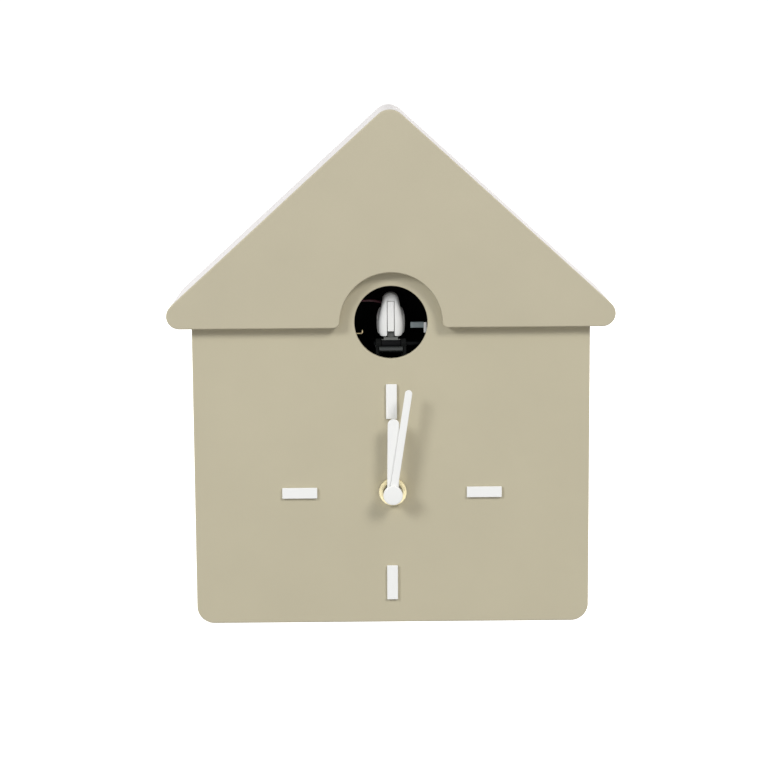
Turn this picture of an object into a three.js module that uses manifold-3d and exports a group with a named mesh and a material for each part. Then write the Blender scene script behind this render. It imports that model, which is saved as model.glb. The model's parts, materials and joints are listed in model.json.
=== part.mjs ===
// House-shaped cuckoo clock, in millimetres, +Z up, front towards -Y.
// Pieces are drawn with Y = 0 on the dial side of the wall panel, and the whole clock is then
// moved along Y, so that its box is centred on Y = 0. Z = 0 is the bottom it stands on.
import * as THREE from 'three';
import { mergeVertices } from 'three/addons/utils/BufferGeometryUtils.js';
import Module from 'manifold-3d';

const wasm = await Module();
wasm.setup();

// ---- Driving dimensions ----
const gap = 0.3;
const caseDepth = 72;
const frontReach = 12.6;
const wall = { half: 98, cornerRadius: 8.5, panelThickness: 3, shellThickness: 2.5, shellTop: 165.4 };
const roof = {
  apexZ: 258.5, eaveZ: 149.5, rise: 0.9072, apexRadius: 8.5, eaveRadius: 6.4,
  thickness: 5.5, shellThickness: 2.5,
};
const birdHole = { z: 151.5, radius: 18, archRadius: 25.2, archFillet: 3 };
const hub = { x: 0.4, z: 67.1 };
const marker = { length: 17.4, width: 5.4, thickness: 1.2, ringRadius: 45.85, x: 0, z: 66.4 };
const hourHand = { length: 37.8, width: 5.8, hubRadius: 4.6, y0: -9.6, y1: -8.8, angle: 0.74 };
const minuteHand = { length: 53, width: 3.6, hubRadius: 4.3, y0: -10.9, y1: -10.2, angle: 8.9 };
const cover = { y0: 69, y1: 72, edgeGap: 0.3 };
const coverScrew = { headRadius: 3, shankRadius: 1.2, length: 13, bossRadius: 4, bossDepth: 14 };
const movement = { half: 28, cornerRadius: 3, y0: 4.4, split: 12, y1: 20.4, skin: 1.2 };
const bush = { innerRadius: 2.9, outerRadius: 4, front: -5.2 };
const knob = { radius: 9, y0: 65.5, y1: 71, shaftRadius: 1.5, holeRadius: 11.5 };
const cuckoo = { half: 26, y0: 3.3, y1: 40.5, z0: 116, z1: 186, skin: 2.5 };
const pivot = { y: 9.3, z: 139.6 };
const shelf = { z0: 131.9, z1: 133.4, notchHalf: 4.8, notchDepth: 16 };
const ear = { inner: 5, outer: 7.5 };
const crossBar = { y: 5.4, z: 137.5, radius: 1.25, half: 5.9 };
const leadHoleZ = 159.4;
const battery = {
  radius: 7.1, length: 49.3, nubRadius: 2.6, nubLength: 1.2, pitch: 14.8, x: -54, y: 59.5, z: 36.5,
};
const bay = { x0: -83, x1: -25, z0: 12, z1: 61, y0: 50.5, skin: 1.5 };
const speaker = { x: 50, z: 105, radius: 25 };
const board = { x0: -82, x1: -30, z0: 106, z1: 152, y0: 60, y1: 61.6 };
const slider = { x: -66, z: 130, travel: 2 };
const button = { x: -46, z: 130, travel: 1.2 };
const keyhole = { x: 0, z: 222, headRadius: 4.5, slotHalf: 2.3, slotLength: 11 };
const lead = { radius: 0.65, sides: 8, steps: 48 };

// Gears: module, tooth counts and where each pair of wheels sits along its axle.
const tooth = { tip: 0.8, root: 1.2, tipShare: 0.1, rootShare: 0.28 };
const motionWork = { module: 0.75, hourModule: 0.6, pinion: 8, reversing: 24, hour: 32 };
const train = { thirdModule: 0.48, centreTeeth: 48, thirdTeeth: 45, secondsModule: 0.54, secondsTeeth: 30,
  rotorModule: 0.48, intermediateTeeth: 36, leaves: 6 };
const birdGears = { module: 0.6, sector: 40, leaves: 8, compound: 32 };

const degrees = Math.PI / 180;
const slopeAngle = Math.atan(roof.rise);

// ---- Solids and outlines ----

// A closed three.js geometry as a manifold solid, with its faces turned outwards.
function solid(geometry) {
  const bare = geometry.index ? geometry.clone() : mergeVertices(geometry.clone());
  bare.deleteAttribute('normal');
  bare.deleteAttribute('uv');
  const merged = mergeVertices(bare, 1e-4);
  const index = merged.index.array;
  const triangles = [];
  for (let i = 0; i < index.length; i += 3) {
    const [a, b, c] = [index[i], index[i + 1], index[i + 2]];
    if (a !== b && b !== c && c !== a) {
      triangles.push(a, b, c);
    }
  }
  const vertProperties = Float32Array.from(merged.attributes.position.array);
  if (signedVolume(vertProperties, triangles) < 0) {
    triangles.reverse();
  }
  const mesh = new wasm.Mesh({ numProp: 3, vertProperties, triVerts: Uint32Array.from(triangles) });
  return new wasm.Manifold(mesh);
}

function signedVolume(positions, triangles) {
  const [a, b, c] = [new THREE.Vector3(), new THREE.Vector3(), new THREE.Vector3()];
  let volume = 0;
  for (let i = 0; i < triangles.length; i += 3) {
    a.fromArray(positions, 3 * triangles[i]);
    b.fromArray(positions, 3 * triangles[i + 1]);
    c.fromArray(positions, 3 * triangles[i + 2]);
    volume += a.dot(b.cross(c)) / 6;
  }
  return volume;
}

// A manifold solid as three.js geometry.
function geometryOf(body) {
  const mesh = body.getMesh();
  const geometry = new THREE.BufferGeometry();
  geometry.setAttribute('position', new THREE.Float32BufferAttribute(mesh.vertProperties, 3));
  geometry.setIndex(new THREE.Uint32BufferAttribute(mesh.triVerts, 1));
  geometry.computeVertexNormals();
  return geometry;
}

function union(bodies) {
  return bodies.reduce((joined, body) => joined.add(body));
}

function cut(body, tools) {
  return tools.reduce((rest, tool) => rest.subtract(tool), body);
}

// An outline in X and Z, extruded from y0 to y1.
function alongY(outline, y0, y1) {
  const geometry = new THREE.ExtrudeGeometry(outline, { depth: y1 - y0, bevelEnabled: false });
  geometry.rotateX(Math.PI / 2);
  geometry.translate(0, y1, 0);
  return solid(geometry);
}

// An outline in Y and Z, extruded from x0 to x1.
function alongX(outline, x0, x1) {
  const geometry = new THREE.ExtrudeGeometry(outline, { depth: x1 - x0, bevelEnabled: false });
  const turn = new THREE.Matrix4().set(0, 0, 1, x0, 1, 0, 0, 0, 0, 1, 0, 0, 0, 0, 0, 1);
  geometry.applyMatrix4(turn);
  return solid(geometry);
}

function block(x0, x1, y0, y1, z0, z1) {
  const geometry = new THREE.BoxGeometry(x1 - x0, y1 - y0, z1 - z0);
  geometry.translate((x0 + x1) / 2, (y0 + y1) / 2, (z0 + z1) / 2);
  return solid(geometry);
}

function rodY(x, z, radius, y0, y1, sides = 24) {
  const geometry = new THREE.CylinderGeometry(radius, radius, y1 - y0, sides);
  geometry.translate(x, (y0 + y1) / 2, z);
  return solid(geometry);
}

function rodX(y, z, radius, x0, x1, sides = 20) {
  const geometry = new THREE.CylinderGeometry(radius, radius, x1 - x0, sides);
  geometry.rotateZ(Math.PI / 2);
  geometry.translate((x0 + x1) / 2, y, z);
  return solid(geometry);
}

// A profile of [radius, y] points turned about an axle along Y at (x, z).
function turnedY(x, z, profile, sides = 24) {
  const geometry = new THREE.LatheGeometry(profile.map(([r, y]) => new THREE.Vector2(r, y)), sides);
  geometry.translate(x, 0, z);
  return solid(geometry);
}

// A profile of [radius, x] points turned about an axle along X at (y, z).
function turnedX(y, z, profile, sides = 24) {
  const geometry = new THREE.LatheGeometry(profile.map(([r, x]) => new THREE.Vector2(r, x)), sides);
  geometry.rotateZ(-Math.PI / 2);
  geometry.translate(0, y, z);
  return solid(geometry);
}

function arcPoints(x, z, radius, from, to, steps) {
  const points = [];
  for (let i = 0; i <= steps; i += 1) {
    const angle = from + (to - from) * i / steps;
    points.push(new THREE.Vector2(x + radius * Math.cos(angle), z + radius * Math.sin(angle)));
  }
  return points;
}

// A closed outline through corners [x, z, radius], each corner rounded by its radius.
function rounded(corners, steps = 6) {
  const points = [];
  corners.forEach(([x, z, radius], i) => {
    const here = new THREE.Vector2(x, z);
    const [bx, bz] = corners[(i + corners.length - 1) % corners.length];
    const [ax, az] = corners[(i + 1) % corners.length];
    const back = new THREE.Vector2(bx, bz).sub(here).normalize();
    const ahead = new THREE.Vector2(ax, az).sub(here).normalize();
    if (!radius) {
      points.push(here);
      return;
    }
    const halfAngle = Math.acos(back.dot(ahead)) / 2;
    const middle = back.clone().add(ahead).normalize().multiplyScalar(radius / Math.sin(halfAngle)).add(here);
    const start = back.clone().multiplyScalar(radius / Math.tan(halfAngle)).add(here).sub(middle).angle();
    const end = ahead.clone().multiplyScalar(radius / Math.tan(halfAngle)).add(here).sub(middle).angle();
    let sweep = end - start;
    if (sweep > Math.PI) {
      sweep -= 2 * Math.PI;
    }
    if (sweep < -Math.PI) {
      sweep += 2 * Math.PI;
    }
    points.push(...arcPoints(middle.x, middle.y, radius, start, start + sweep, steps));
  });
  return new THREE.Shape(points);
}

// The gable outline of the roof, drawn in by an inset on every side.
function roofOutline(inset) {
  const apexZ = roof.apexZ - inset / Math.cos(slopeAngle);
  const eaveZ = roof.eaveZ + inset;
  const eaveX = (apexZ - eaveZ) / roof.rise;
  return rounded([
    [eaveX, eaveZ, roof.eaveRadius - inset],
    [0, apexZ, roof.apexRadius - inset],
    [-eaveX, eaveZ, roof.eaveRadius - inset],
  ]);
}

// The flat outline of a toothed wheel about (u, v), with one tooth centred on the angle phase.
function toothedOutline(u, v, teeth, module, phase, first = 0, count = teeth) {
  const tipRadius = module * (teeth / 2 + tooth.tip);
  const rootRadius = module * (teeth / 2 - tooth.root);
  const pitch = 2 * Math.PI / teeth;
  const points = [];
  for (let i = first; i < first + count; i += 1) {
    const middle = phase + i * pitch;
    const corners = [
      [rootRadius, -tooth.rootShare], [tipRadius, -tooth.tipShare],
      [tipRadius, tooth.tipShare], [rootRadius, tooth.rootShare],
    ];
    corners.forEach(([radius, share]) => {
      const angle = middle + share * pitch;
      points.push(new THREE.Vector2(u + radius * Math.cos(angle), v + radius * Math.sin(angle)));
    });
  }
  return points;
}

function gearY(at, teeth, module, phase, y0, y1) {
  return alongY(new THREE.Shape(toothedOutline(at.x, at.z, teeth, module, phase)), y0, y1);
}

function gearX(at, teeth, module, phase, x0, x1) {
  return alongX(new THREE.Shape(toothedOutline(at.y, at.z, teeth, module, phase)), x0, x1);
}

// The phase that puts a gap of a wheel with this many teeth towards the angle.
function gapTowards(angle, teeth) {
  return angle + Math.PI / teeth;
}

function away(from, distance, angle) {
  return { x: from.x + distance * Math.cos(angle), z: from.z + distance * Math.sin(angle) };
}

// ---- Materials ----
function finish(color, roughness, metalness = 0) {
  return () => new THREE.MeshStandardMaterial({ color, roughness, metalness });
}

const beigePlastic = finish(0xc2b9a2, 0.75);
const whitePlastic = finish(0xf3f1ec, 0.55);
const whiteLacquer = finish(0xf4f4f2, 0.35);
const brass = finish(0xd9c58c, 0.3, 1);
const steel = finish(0xb9bcc0, 0.35, 1);
const blackRubber = finish(0x1c1c1c, 0.9);
const blackPlastic = finish(0x1b1b1d, 0.5);
const greyPlastic = finish(0x8c8e90, 0.5);
const acetal = finish(0xe9e6da, 0.4);
const birdWhite = finish(0xefeeea, 0.5);
const birdGrey = finish(0xbdbcb8, 0.5);
const copper = finish(0xb56a3a, 0.4, 1);
const boardGreen = finish(0x2f5d3a, 0.6);
const redWire = finish(0xb3202a, 0.5);
const blackWire = finish(0x191919, 0.5);
const cellFinish = finish(0x3c5a78, 0.4);

const clock = new THREE.Group();
clock.position.y = (frontReach - caseDepth) / 2;

function piece(name, body, material) {
  const mesh = new THREE.Mesh(geometryOf(body), material());
  mesh.name = name;
  clock.add(mesh);
}

// ---- Housing ----

// The gable wall behind the hands: rounded bottom corners, sloping top inside the roof.
function frontWallPanel() {
  const inset = roof.shellThickness + gap;
  const apexZ = roof.apexZ - inset / Math.cos(slopeAngle);
  const shoulderZ = apexZ - roof.rise * wall.half;
  const outline = rounded([
    [-wall.half, 0, wall.cornerRadius],
    [wall.half, 0, wall.cornerRadius],
    [wall.half, shoulderZ, 0],
    [0, apexZ, roof.apexRadius - inset],
    [-wall.half, shoulderZ, 0],
  ]);
  const plate = alongY(outline, 0, wall.panelThickness);
  return cut(plate, [
    rodY(0, birdHole.z, birdHole.radius, -1, 4, 48),
    rodY(hub.x, hub.z, bush.outerRadius + gap, -1, 4),
  ]);
}

// The gable plate in front of the wall, with an arch over the bird's window.
function roofPanel() {
  const inner = birdHole.archRadius;
  const fillet = birdHole.archFillet;
  const filletZ = roof.eaveZ + fillet;
  const filletX = Math.sqrt((inner + fillet) ** 2 - (filletZ - birdHole.z) ** 2);
  const springAngle = Math.atan2(filletZ - birdHole.z, filletX);
  const arch = [
    ...arcPoints(filletX, filletZ, fillet, -Math.PI / 2, -Math.PI + springAngle, 4),
    ...arcPoints(0, birdHole.z, inner, springAngle, Math.PI - springAngle, 32),
    ...arcPoints(-filletX, filletZ, fillet, -springAngle, -Math.PI / 2, 4),
    new THREE.Vector2(-filletX, roof.eaveZ - 1),
    new THREE.Vector2(filletX, roof.eaveZ - 1),
  ];
  const y0 = -gap - roof.thickness;
  return alongY(roofOutline(0), y0, -gap).subtract(alongY(new THREE.Shape(arch), y0 - 1, 1));
}

// The roof moulding: hollow, open at the front and between the walls, closed behind the eaves.
function roofShell() {
  const mouth = wall.half + gap;
  const hollow = roofOutline(roof.shellThickness);
  const behind = alongY(hollow, cover.y0 - 1, caseDepth + 1);
  const shell = cut(alongY(roofOutline(0), 0, caseDepth), [
    alongY(hollow, -1, cover.y0),
    behind.intersect(block(-mouth, mouth, 0, caseDepth + 2, 0, roof.apexZ)),
    block(-mouth, mouth, -1, caseDepth + 1, roof.eaveZ - 1, roof.eaveZ + 6),
  ]);
  const bosses = coverScrews().slice(2).map(({ x, z }) => screwBoss(x, z));
  return cut(union([shell, ...bosses]), coverScrews().slice(2).map(({ x, z }) => screwBore(x, z)));
}

// The walls and the floor of the house, one U-shaped moulding.
function wallShell() {
  const t = wall.shellThickness;
  const y0 = wall.panelThickness + gap;
  const outer = rounded([
    [-wall.half, 0, wall.cornerRadius],
    [wall.half, 0, wall.cornerRadius],
    [wall.half, wall.shellTop, 0],
    [-wall.half, wall.shellTop, 0],
  ]);
  const inner = rounded([
    [-wall.half + t, t, wall.cornerRadius - t],
    [wall.half - t, t, wall.cornerRadius - t],
    [wall.half - t, wall.shellTop + 1, 0],
    [-wall.half + t, wall.shellTop + 1, 0],
  ]);
  const shell = alongY(outer, y0, caseDepth).subtract(alongY(inner, y0 - 1, caseDepth + 1));
  const low = coverScrews().slice(0, 2);
  const bosses = low.map(({ x, z }) => screwBoss(x, z));
  return cut(union([shell, ...bosses]), low.map(({ x, z }) => screwBore(x, z)));
}

// Where the four screws of the back cover go: two by the floor, two under the roof slopes.
function coverScrews() {
  return [{ x: -90.9, z: 7.1 }, { x: 90.9, z: 7.1 }, { x: -60, z: 195 }, { x: 60, z: 195 }];
}

function screwBoss(x, z) {
  const y1 = cover.y0 - gap;
  return rodY(x, z, coverScrew.bossRadius + 1.2, y1 - coverScrew.bossDepth, y1, 16);
}

function screwBore(x, z) {
  return rodY(x, z, coverScrew.shankRadius + gap, cover.y0 - coverScrew.bossDepth + 1, cover.y0, 12);
}

function backScrew({ x, z }) {
  const outer = cover.y1 - gap;
  const underHead = outer - 1.4;
  return turnedY(x, z, [
    [0, outer - coverScrew.length], [coverScrew.shankRadius, outer - coverScrew.length + 1],
    [coverScrew.shankRadius, underHead], [coverScrew.headRadius, underHead],
    [coverScrew.headRadius, outer - 0.5], [coverScrew.headRadius - 0.7, outer], [0, outer],
  ], 16);
}

function backCover() {
  const inset = roof.shellThickness + cover.edgeGap;
  const half = wall.half - inset;
  const apexZ = roof.apexZ - inset / Math.cos(slopeAngle);
  const outline = rounded([
    [-half, inset, wall.cornerRadius - inset],
    [half, inset, wall.cornerRadius - inset],
    [half, apexZ - roof.rise * half, 0],
    [0, apexZ, roof.apexRadius - inset],
    [-half, apexZ - roof.rise * half, 0],
  ]);
  const through = [cover.y0 - 1, cover.y1 + 1];
  const door = batteryDoorSize();
  const tools = [
    rodY(knobAxis().x, knobAxis().z, knob.holeRadius, ...through, 32),
    block(slider.x - 4.4, slider.x + 4.4, ...through, slider.z - 2.4, slider.z + 2.4),
    rodY(button.x, button.z, 3, ...through, 20),
    block(door.x0 - 0.4, door.x1 + 0.4, ...through, door.z0 - 0.4, door.z1 + 0.4),
    rodX(door.hingeY, door.hingeZ, 0.8, door.x0 - 1.8, door.x1 + 1.8, 12),
    ...keyholeTools(through),
    ...coverScrews().map(({ x, z }) => rodY(x, z, coverScrew.shankRadius + gap, ...through, 12)),
    ...coverScrews().map(({ x, z }) => (
      rodY(x, z, coverScrew.headRadius + gap, cover.y1 - 2, cover.y1 + 1, 16))),
    ...speakerSlots(through),
  ];
  return cut(alongY(outline, cover.y0, cover.y1), tools);
}

// A round entry with a slot above it, which drops over a screw in the wall.
function keyholeTools(through) {
  return [
    rodY(keyhole.x, keyhole.z, keyhole.headRadius, ...through, 20),
    block(keyhole.x - keyhole.slotHalf, keyhole.x + keyhole.slotHalf, ...through, keyhole.z, keyhole.z
      + keyhole.slotLength),
    rodY(keyhole.x, keyhole.z + keyhole.slotLength, keyhole.slotHalf, ...through, 12),
  ];
}

// Upright slots in front of the speaker cone, shorter towards the sides.
function speakerSlots(through) {
  const slots = [];
  for (let i = -4; i <= 4; i += 1) {
    const x = speaker.x + i * 4.6;
    const reach = Math.sqrt(21 ** 2 - (i * 4.6) ** 2);
    slots.push(block(x - 1.2, x + 1.2, ...through, speaker.z - reach, speaker.z + reach));
  }
  return slots;
}

function batteryDoorSize() {
  return { x0: bay.x0 + 1, x1: bay.x1 - 1, z0: bay.z0 + 1.5, z1: bay.z1 - 1, thickness: 2.4,
    hingeY: cover.y1 - 1.2, hingeZ: bay.z0 + 1.5 + 1.2 };
}

// The battery door: a round lower edge with a pin at each end, and a finger latch on top.
function batteryDoor() {
  const door = batteryDoorSize();
  const radius = door.thickness / 2;
  const section = new THREE.Shape([
    ...arcPoints(door.hingeY, door.hingeZ, radius, Math.PI, 2 * Math.PI, 6),
    new THREE.Vector2(cover.y1, door.z1),
    new THREE.Vector2(cover.y1 - door.thickness, door.z1),
  ]);
  const plate = alongX(section, door.x0, door.x1);
  const pins = rodX(door.hingeY, door.hingeZ, 0.5, door.x0 - 1.4, door.x1 + 1.4, 12);
  const middle = (door.x0 + door.x1) / 2;
  const fingerHollow = block(middle - 8, middle + 8, cover.y1 - 1, cover.y1 + 1, door.z1 - 7, door.z1 - 3);
  return plate.add(pins).subtract(fingerHollow);
}

function hourMarker(angle) {
  const across = Math.abs(Math.sin(angle)) > 0.5;
  const x = marker.x + marker.ringRadius * Math.sin(angle);
  const z = marker.z + marker.ringRadius * Math.cos(angle);
  const halfX = (across ? marker.length : marker.width) / 2;
  const halfZ = (across ? marker.width : marker.length) / 2;
  return block(x - halfX, x + halfX, -gap - marker.thickness, -gap, z - halfZ, z + halfZ);
}

// ---- Hands ----

// A flat round-ended hand with an eye that fits its arbor, turned clockwise from 12 by its angle.
function hand(size, eyeRadius) {
  const half = size.width / 2;
  const bar = new THREE.Shape([
    new THREE.Vector2(half, 0),
    ...arcPoints(0, size.length - half, half, 0, Math.PI, 10),
    new THREE.Vector2(-half, 0),
  ]);
  const body = cut(union([alongY(bar, size.y0, size.y1), rodY(0, 0, size.hubRadius, size.y0, size.y1, 28)]), [
    rodY(0, 0, eyeRadius, size.y0 - 1, size.y1 + 1),
  ]);
  return body.rotate([0, size.angle, 0]).translate([hub.x, 0, hub.z]);
}

function handCap() {
  return turnedY(hub.x, hub.z, [
    [0, -frontReach], [4.35, -frontReach], [4.8, -frontReach + 0.4], [4.8, -11.4], [4.5, -11.2],
    [3.9, -11.2], [3.9, -11.6], [0, -11.6],
  ], 32);
}

// A round brass nut with a dished front and a clearance bore over the threaded bush.
function fixingNut() {
  const bore = bush.outerRadius + 0.15;
  return turnedY(hub.x, hub.z, [
    [bore, -1], [6.8, -1], [6.8, -2.8], [6.4, -3.2], [5.6, -3.2], [5.2, -2.3], [bore, -2.3], [bore, -1],
  ], 32);
}

function flatWasher(outerRadius, y0, y1) {
  const bore = bush.outerRadius + 0.2;
  return turnedY(hub.x, hub.z, [
    [bore, y0], [outerRadius, y0], [outerRadius, y1], [bore, y1], [bore, y0],
  ], 28);
}

// ---- Time movement ----
const centre = { x: hub.x, z: hub.z };
const reversingAngle = -60 * degrees;
const reversingAxis = away(centre, motionWork.module * (motionWork.pinion + motionWork.reversing) / 2,
  reversingAngle);
const thirdAngle = 200 * degrees;
const thirdAxis = away(centre, train.thirdModule * (train.leaves + train.thirdTeeth) / 2, thirdAngle);
const thirdPairTeeth = train.leaves + train.thirdTeeth;
const centreModule = train.thirdModule * thirdPairTeeth / (train.leaves + train.centreTeeth);
const intermediateAngle = 35 * degrees;
const intermediateAxis = away(centre, train.secondsModule * (train.leaves + train.secondsTeeth) / 2,
  intermediateAngle);
const rotorAngle = 45 * degrees;
const rotorAxis = away(intermediateAxis, train.rotorModule * (train.leaves + train.intermediateTeeth) / 2,
  rotorAngle);

function knobAxis() {
  const distance = motionWork.module * (motionWork.reversing + motionWork.pinion) / 2;
  return away(reversingAxis, distance, reversingAngle);
}

function squareOutline(half, radius) {
  return rounded([
    [hub.x - half, hub.z - half, radius], [hub.x + half, hub.z - half, radius],
    [hub.x + half, hub.z + half, radius], [hub.x - half, hub.z + half, radius],
  ], 4);
}

// One half of the movement's box: its flat side is at yFlat and its open side at yOpen.
function movementHalf(yFlat, yOpen) {
  const inwards = Math.sign(yOpen - yFlat);
  const skinY = yFlat + inwards * movement.skin;
  const full = alongY(squareOutline(movement.half, movement.cornerRadius), Math.min(yFlat, yOpen),
    Math.max(yFlat, yOpen));
  const hollow = alongY(squareOutline(movement.half - movement.skin, movement.cornerRadius - movement.skin),
    Math.min(skinY, yOpen + inwards), Math.max(skinY, yOpen + inwards));
  return full.subtract(hollow);
}

// A blind bearing for a pivot, sunk into the inner side of a case half.
function bearing(axis, inner, direction) {
  const ends = [inner - direction, inner + 0.7 * direction];
  return rodY(axis.x, axis.z, 0.8, Math.min(...ends), Math.max(...ends), 12);
}

function movementFrontCase() {
  const inner = movement.y0 + movement.skin;
  const stub = rodY(reversingAxis.x, reversingAxis.z, 0.6, inner - 0.2, 10, 12);
  const stem = rodY(hub.x, hub.z, bush.outerRadius, bush.front, inner + 0.1);
  return cut(union([movementHalf(movement.y0, movement.split), stem, stub]), [
    rodY(hub.x, hub.z, bush.innerRadius, bush.front - 1, inner + 1),
    bearing(thirdAxis, inner, -1),
    bearing(rotorAxis, inner, -1),
  ]);
}

function movementRearCase() {
  const inner = movement.y1 - movement.skin;
  const axes = [centre, thirdAxis, intermediateAxis, rotorAxis];
  return cut(movementHalf(movement.y1, movement.split + gap), [
    rodY(knobAxis().x, knobAxis().z, knob.shaftRadius + 0.4, inner - 1, movement.y1 + 1),
    ...axes.map((axis) => bearing(axis, inner, 1)),
  ]);
}

// The arbor that carries the minute hand, with the cannon pinion on it.
function centreArbor() {
  return union([
    rodY(hub.x, hub.z, 1.5, -11.3, 8.2),
    gearY(centre, motionWork.pinion, motionWork.module, reversingAngle, 8, 9.9),
    rodY(hub.x, hub.z, 1.2, 9.7, 11.5, 16),
  ]);
}

function hourWheel() {
  const phase = gapTowards(reversingAngle, motionWork.hour);
  const wheel = gearY(centre, motionWork.hour, motionWork.hourModule, phase, 6.2, 7.7);
  return wheel.add(rodY(hub.x, hub.z, 2.6, -9.8, 6.4)).subtract(rodY(hub.x, hub.z, 1.8, -11, 9));
}

function reversingWheel() {
  const facing = reversingAngle + Math.PI;
  const wheel = gearY(reversingAxis, motionWork.reversing, motionWork.module,
    gapTowards(facing, motionWork.reversing), 8.2, 9.7);
  const pinion = gearY(reversingAxis, motionWork.pinion, motionWork.hourModule, facing, 6.2, 8.4);
  return wheel.add(pinion).subtract(rodY(reversingAxis.x, reversingAxis.z, 0.9, 5, 11, 12));
}

function centreWheel() {
  const phase = gapTowards(thirdAngle, train.centreTeeth);
  return gearY(centre, train.centreTeeth, centreModule, phase, 10.2, 11.4)
    .subtract(rodY(hub.x, hub.z, 1.5, 9, 12, 16));
}

function arbor(axis, y0, y1) {
  return rodY(axis.x, axis.z, 0.5, y0, y1, 10);
}

function thirdWheel() {
  const facing = thirdAngle + Math.PI;
  return union([
    gearY(thirdAxis, train.thirdTeeth, train.thirdModule, gapTowards(facing, train.thirdTeeth), 11.9, 13.1),
    gearY(thirdAxis, train.leaves, centreModule, facing, 9.9, 12.1),
    arbor(thirdAxis, movement.y0 + 0.7, movement.y1 - 0.7),
  ]);
}

function secondsWheel() {
  return union([
    gearY(centre, train.secondsTeeth, train.secondsModule, gapTowards(intermediateAngle, train.secondsTeeth),
      13.6, 14.8),
    gearY(centre, train.leaves, train.thirdModule, thirdAngle, 11.8, 13.8),
    arbor(centre, 14.6, movement.y1 - 0.7),
  ]);
}

function intermediateWheel() {
  const wheelPhase = gapTowards(rotorAngle, train.intermediateTeeth);
  return union([
    gearY(intermediateAxis, train.intermediateTeeth, train.rotorModule, wheelPhase, 15.3, 16.4),
    gearY(intermediateAxis, train.leaves, train.secondsModule, intermediateAngle + Math.PI, 13.4, 15.5),
    arbor(intermediateAxis, 16.2, movement.y1 - 0.7),
  ]);
}

function rotor() {
  return union([
    rodY(rotorAxis.x, rotorAxis.z, 2.4, 16.8, 18.2, 16),
    gearY(rotorAxis, train.leaves, train.rotorModule, rotorAngle + Math.PI, 15.1, 17),
    arbor(rotorAxis, movement.y0 + 0.7, movement.y1 - 0.7),
  ]);
}

// The stator plate: a bar around the rotor with a leg at each end for the coil's core.
function stator() {
  const plate = rounded([
    [-17, hub.z + 9, 1], [25, hub.z + 9, 1], [25, hub.z + 24, 1], [19, hub.z + 24, 1],
    [19, hub.z + 16.6, 0], [-11, hub.z + 16.6, 0], [-11, hub.z + 24, 1], [-17, hub.z + 24, 1],
  ], 3);
  return alongY(plate, 16.9, 18.1).subtract(rodY(rotorAxis.x, rotorAxis.z, 2.9, 16, 19));
}

function coil() {
  const z = hub.z + 20.6;
  const y = 13.4;
  const core = block(-16.5, 24.5, 15.3, 16.6, z - 2, z + 2);
  return union([rodX(y, z, 3, -9.5, 17.5), rodX(y, z, 3.4, -10, -8.6), rodX(y, z, 3.4, 16.4, 17.8), core]);
}

function circuitBoard() {
  const z0 = hub.z - 24;
  const plate = block(-24, 1, 15.4, 16.4, z0, z0 + 12);
  const chip = block(-16, -9, 14.2, 15.6, z0 + 3, z0 + 9);
  return plate.add(chip);
}

// The knob on its long shaft, with the small pinion that turns the reversing wheel.
function settingKnob() {
  const axis = knobAxis();
  const flutes = [];
  for (let i = 0; i < 12; i += 1) {
    const at = away(axis, knob.radius + 0.5, i * 30 * degrees);
    flutes.push(rodY(at.x, at.z, 1.1, knob.y0 - 1, knob.y1 + 1, 8));
  }
  return cut(union([
    gearY(axis, motionWork.pinion, motionWork.module, reversingAngle + Math.PI, 8.1, 9.8),
    rodY(axis.x, axis.z, knob.shaftRadius, 9.6, knob.y0 + 1, 16),
    rodY(axis.x, axis.z, knob.radius, knob.y0, knob.y1, 24),
  ]), flutes);
}

// ---- Cuckoo unit ----
const compoundAxis = fromPivot(birdGears.module * (birdGears.sector + birdGears.leaves) / 2, -20 * degrees);
const compoundFacing = 160 * degrees;
const motorAngle = -52 * degrees;
const motorDistance = birdGears.module * (birdGears.compound + birdGears.leaves) / 2;
const motorAxis = {
  y: compoundAxis.y + motorDistance * Math.cos(motorAngle),
  z: compoundAxis.z + motorDistance * Math.sin(motorAngle),
};

function fromPivot(distance, angle) {
  return { y: pivot.y + distance * Math.cos(angle), z: pivot.z + distance * Math.sin(angle) };
}

// The black box behind the window: open in front, with a shelf that carries two bearing ears, and a
// post outside its right cheek for the compound gear.
function cuckooFrame() {
  const { half, skin, y0, y1, z0, z1 } = cuckoo;
  const box = block(-half, half, y0, y1, z0, z1).subtract(
    block(-half + skin, half - skin, y0 - 1, y1 - skin, z0 + skin, z1 - skin));
  const shelfPlate = cut(block(-half + 1, half - 1, y0, y1 - 1, shelf.z0, shelf.z1), [
    block(-shelf.notchHalf, shelf.notchHalf, y0 - 1, shelf.notchDepth, shelf.z0 - 1, shelf.z1 + 1),
    block(-2.4, 0.8, 28.8, 32, shelf.z0 - 1, shelf.z1 + 1),
  ]);
  const ears = [-1, 1].flatMap((side) => [
    sideBlock(side, ear.inner, ear.outer, pivot.y - 2.6, pivot.y + 2.6, shelf.z1 - 0.5, pivot.z),
    rodX(pivot.y, pivot.z, 2.6, Math.min(side * ear.inner, side * ear.outer),
      Math.max(side * ear.inner, side * ear.outer)),
    sideBlock(side, crossBar.half + gap, ear.outer, crossBar.y - 1.2, pivot.y, shelf.z1 - 0.5,
      crossBar.z + 1.2),
  ]);
  const post = rodX(compoundAxis.y, compoundAxis.z, 1, half - 1, half + 6.6, 14);
  return cut(union([box, shelfPlate, ...ears, post]), [
    rodX(pivot.y, pivot.z, 1.8, -9, half + 1),
    rodX(motorAxis.y, motorAxis.z, 1.5, half - skin - 1, half + 1, 16),
    rodX(24, leadHoleZ, 1.6, -half - 1, -half + skin + 1, 12),
  ]);
}

// A block on the left (-1) or the right (1) between two distances from the middle.
function sideBlock(side, inner, outer, y0, y1, z0, z1) {
  return block(Math.min(side * inner, side * outer), Math.max(side * inner, side * outer), y0, y1, z0, z1);
}

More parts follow.
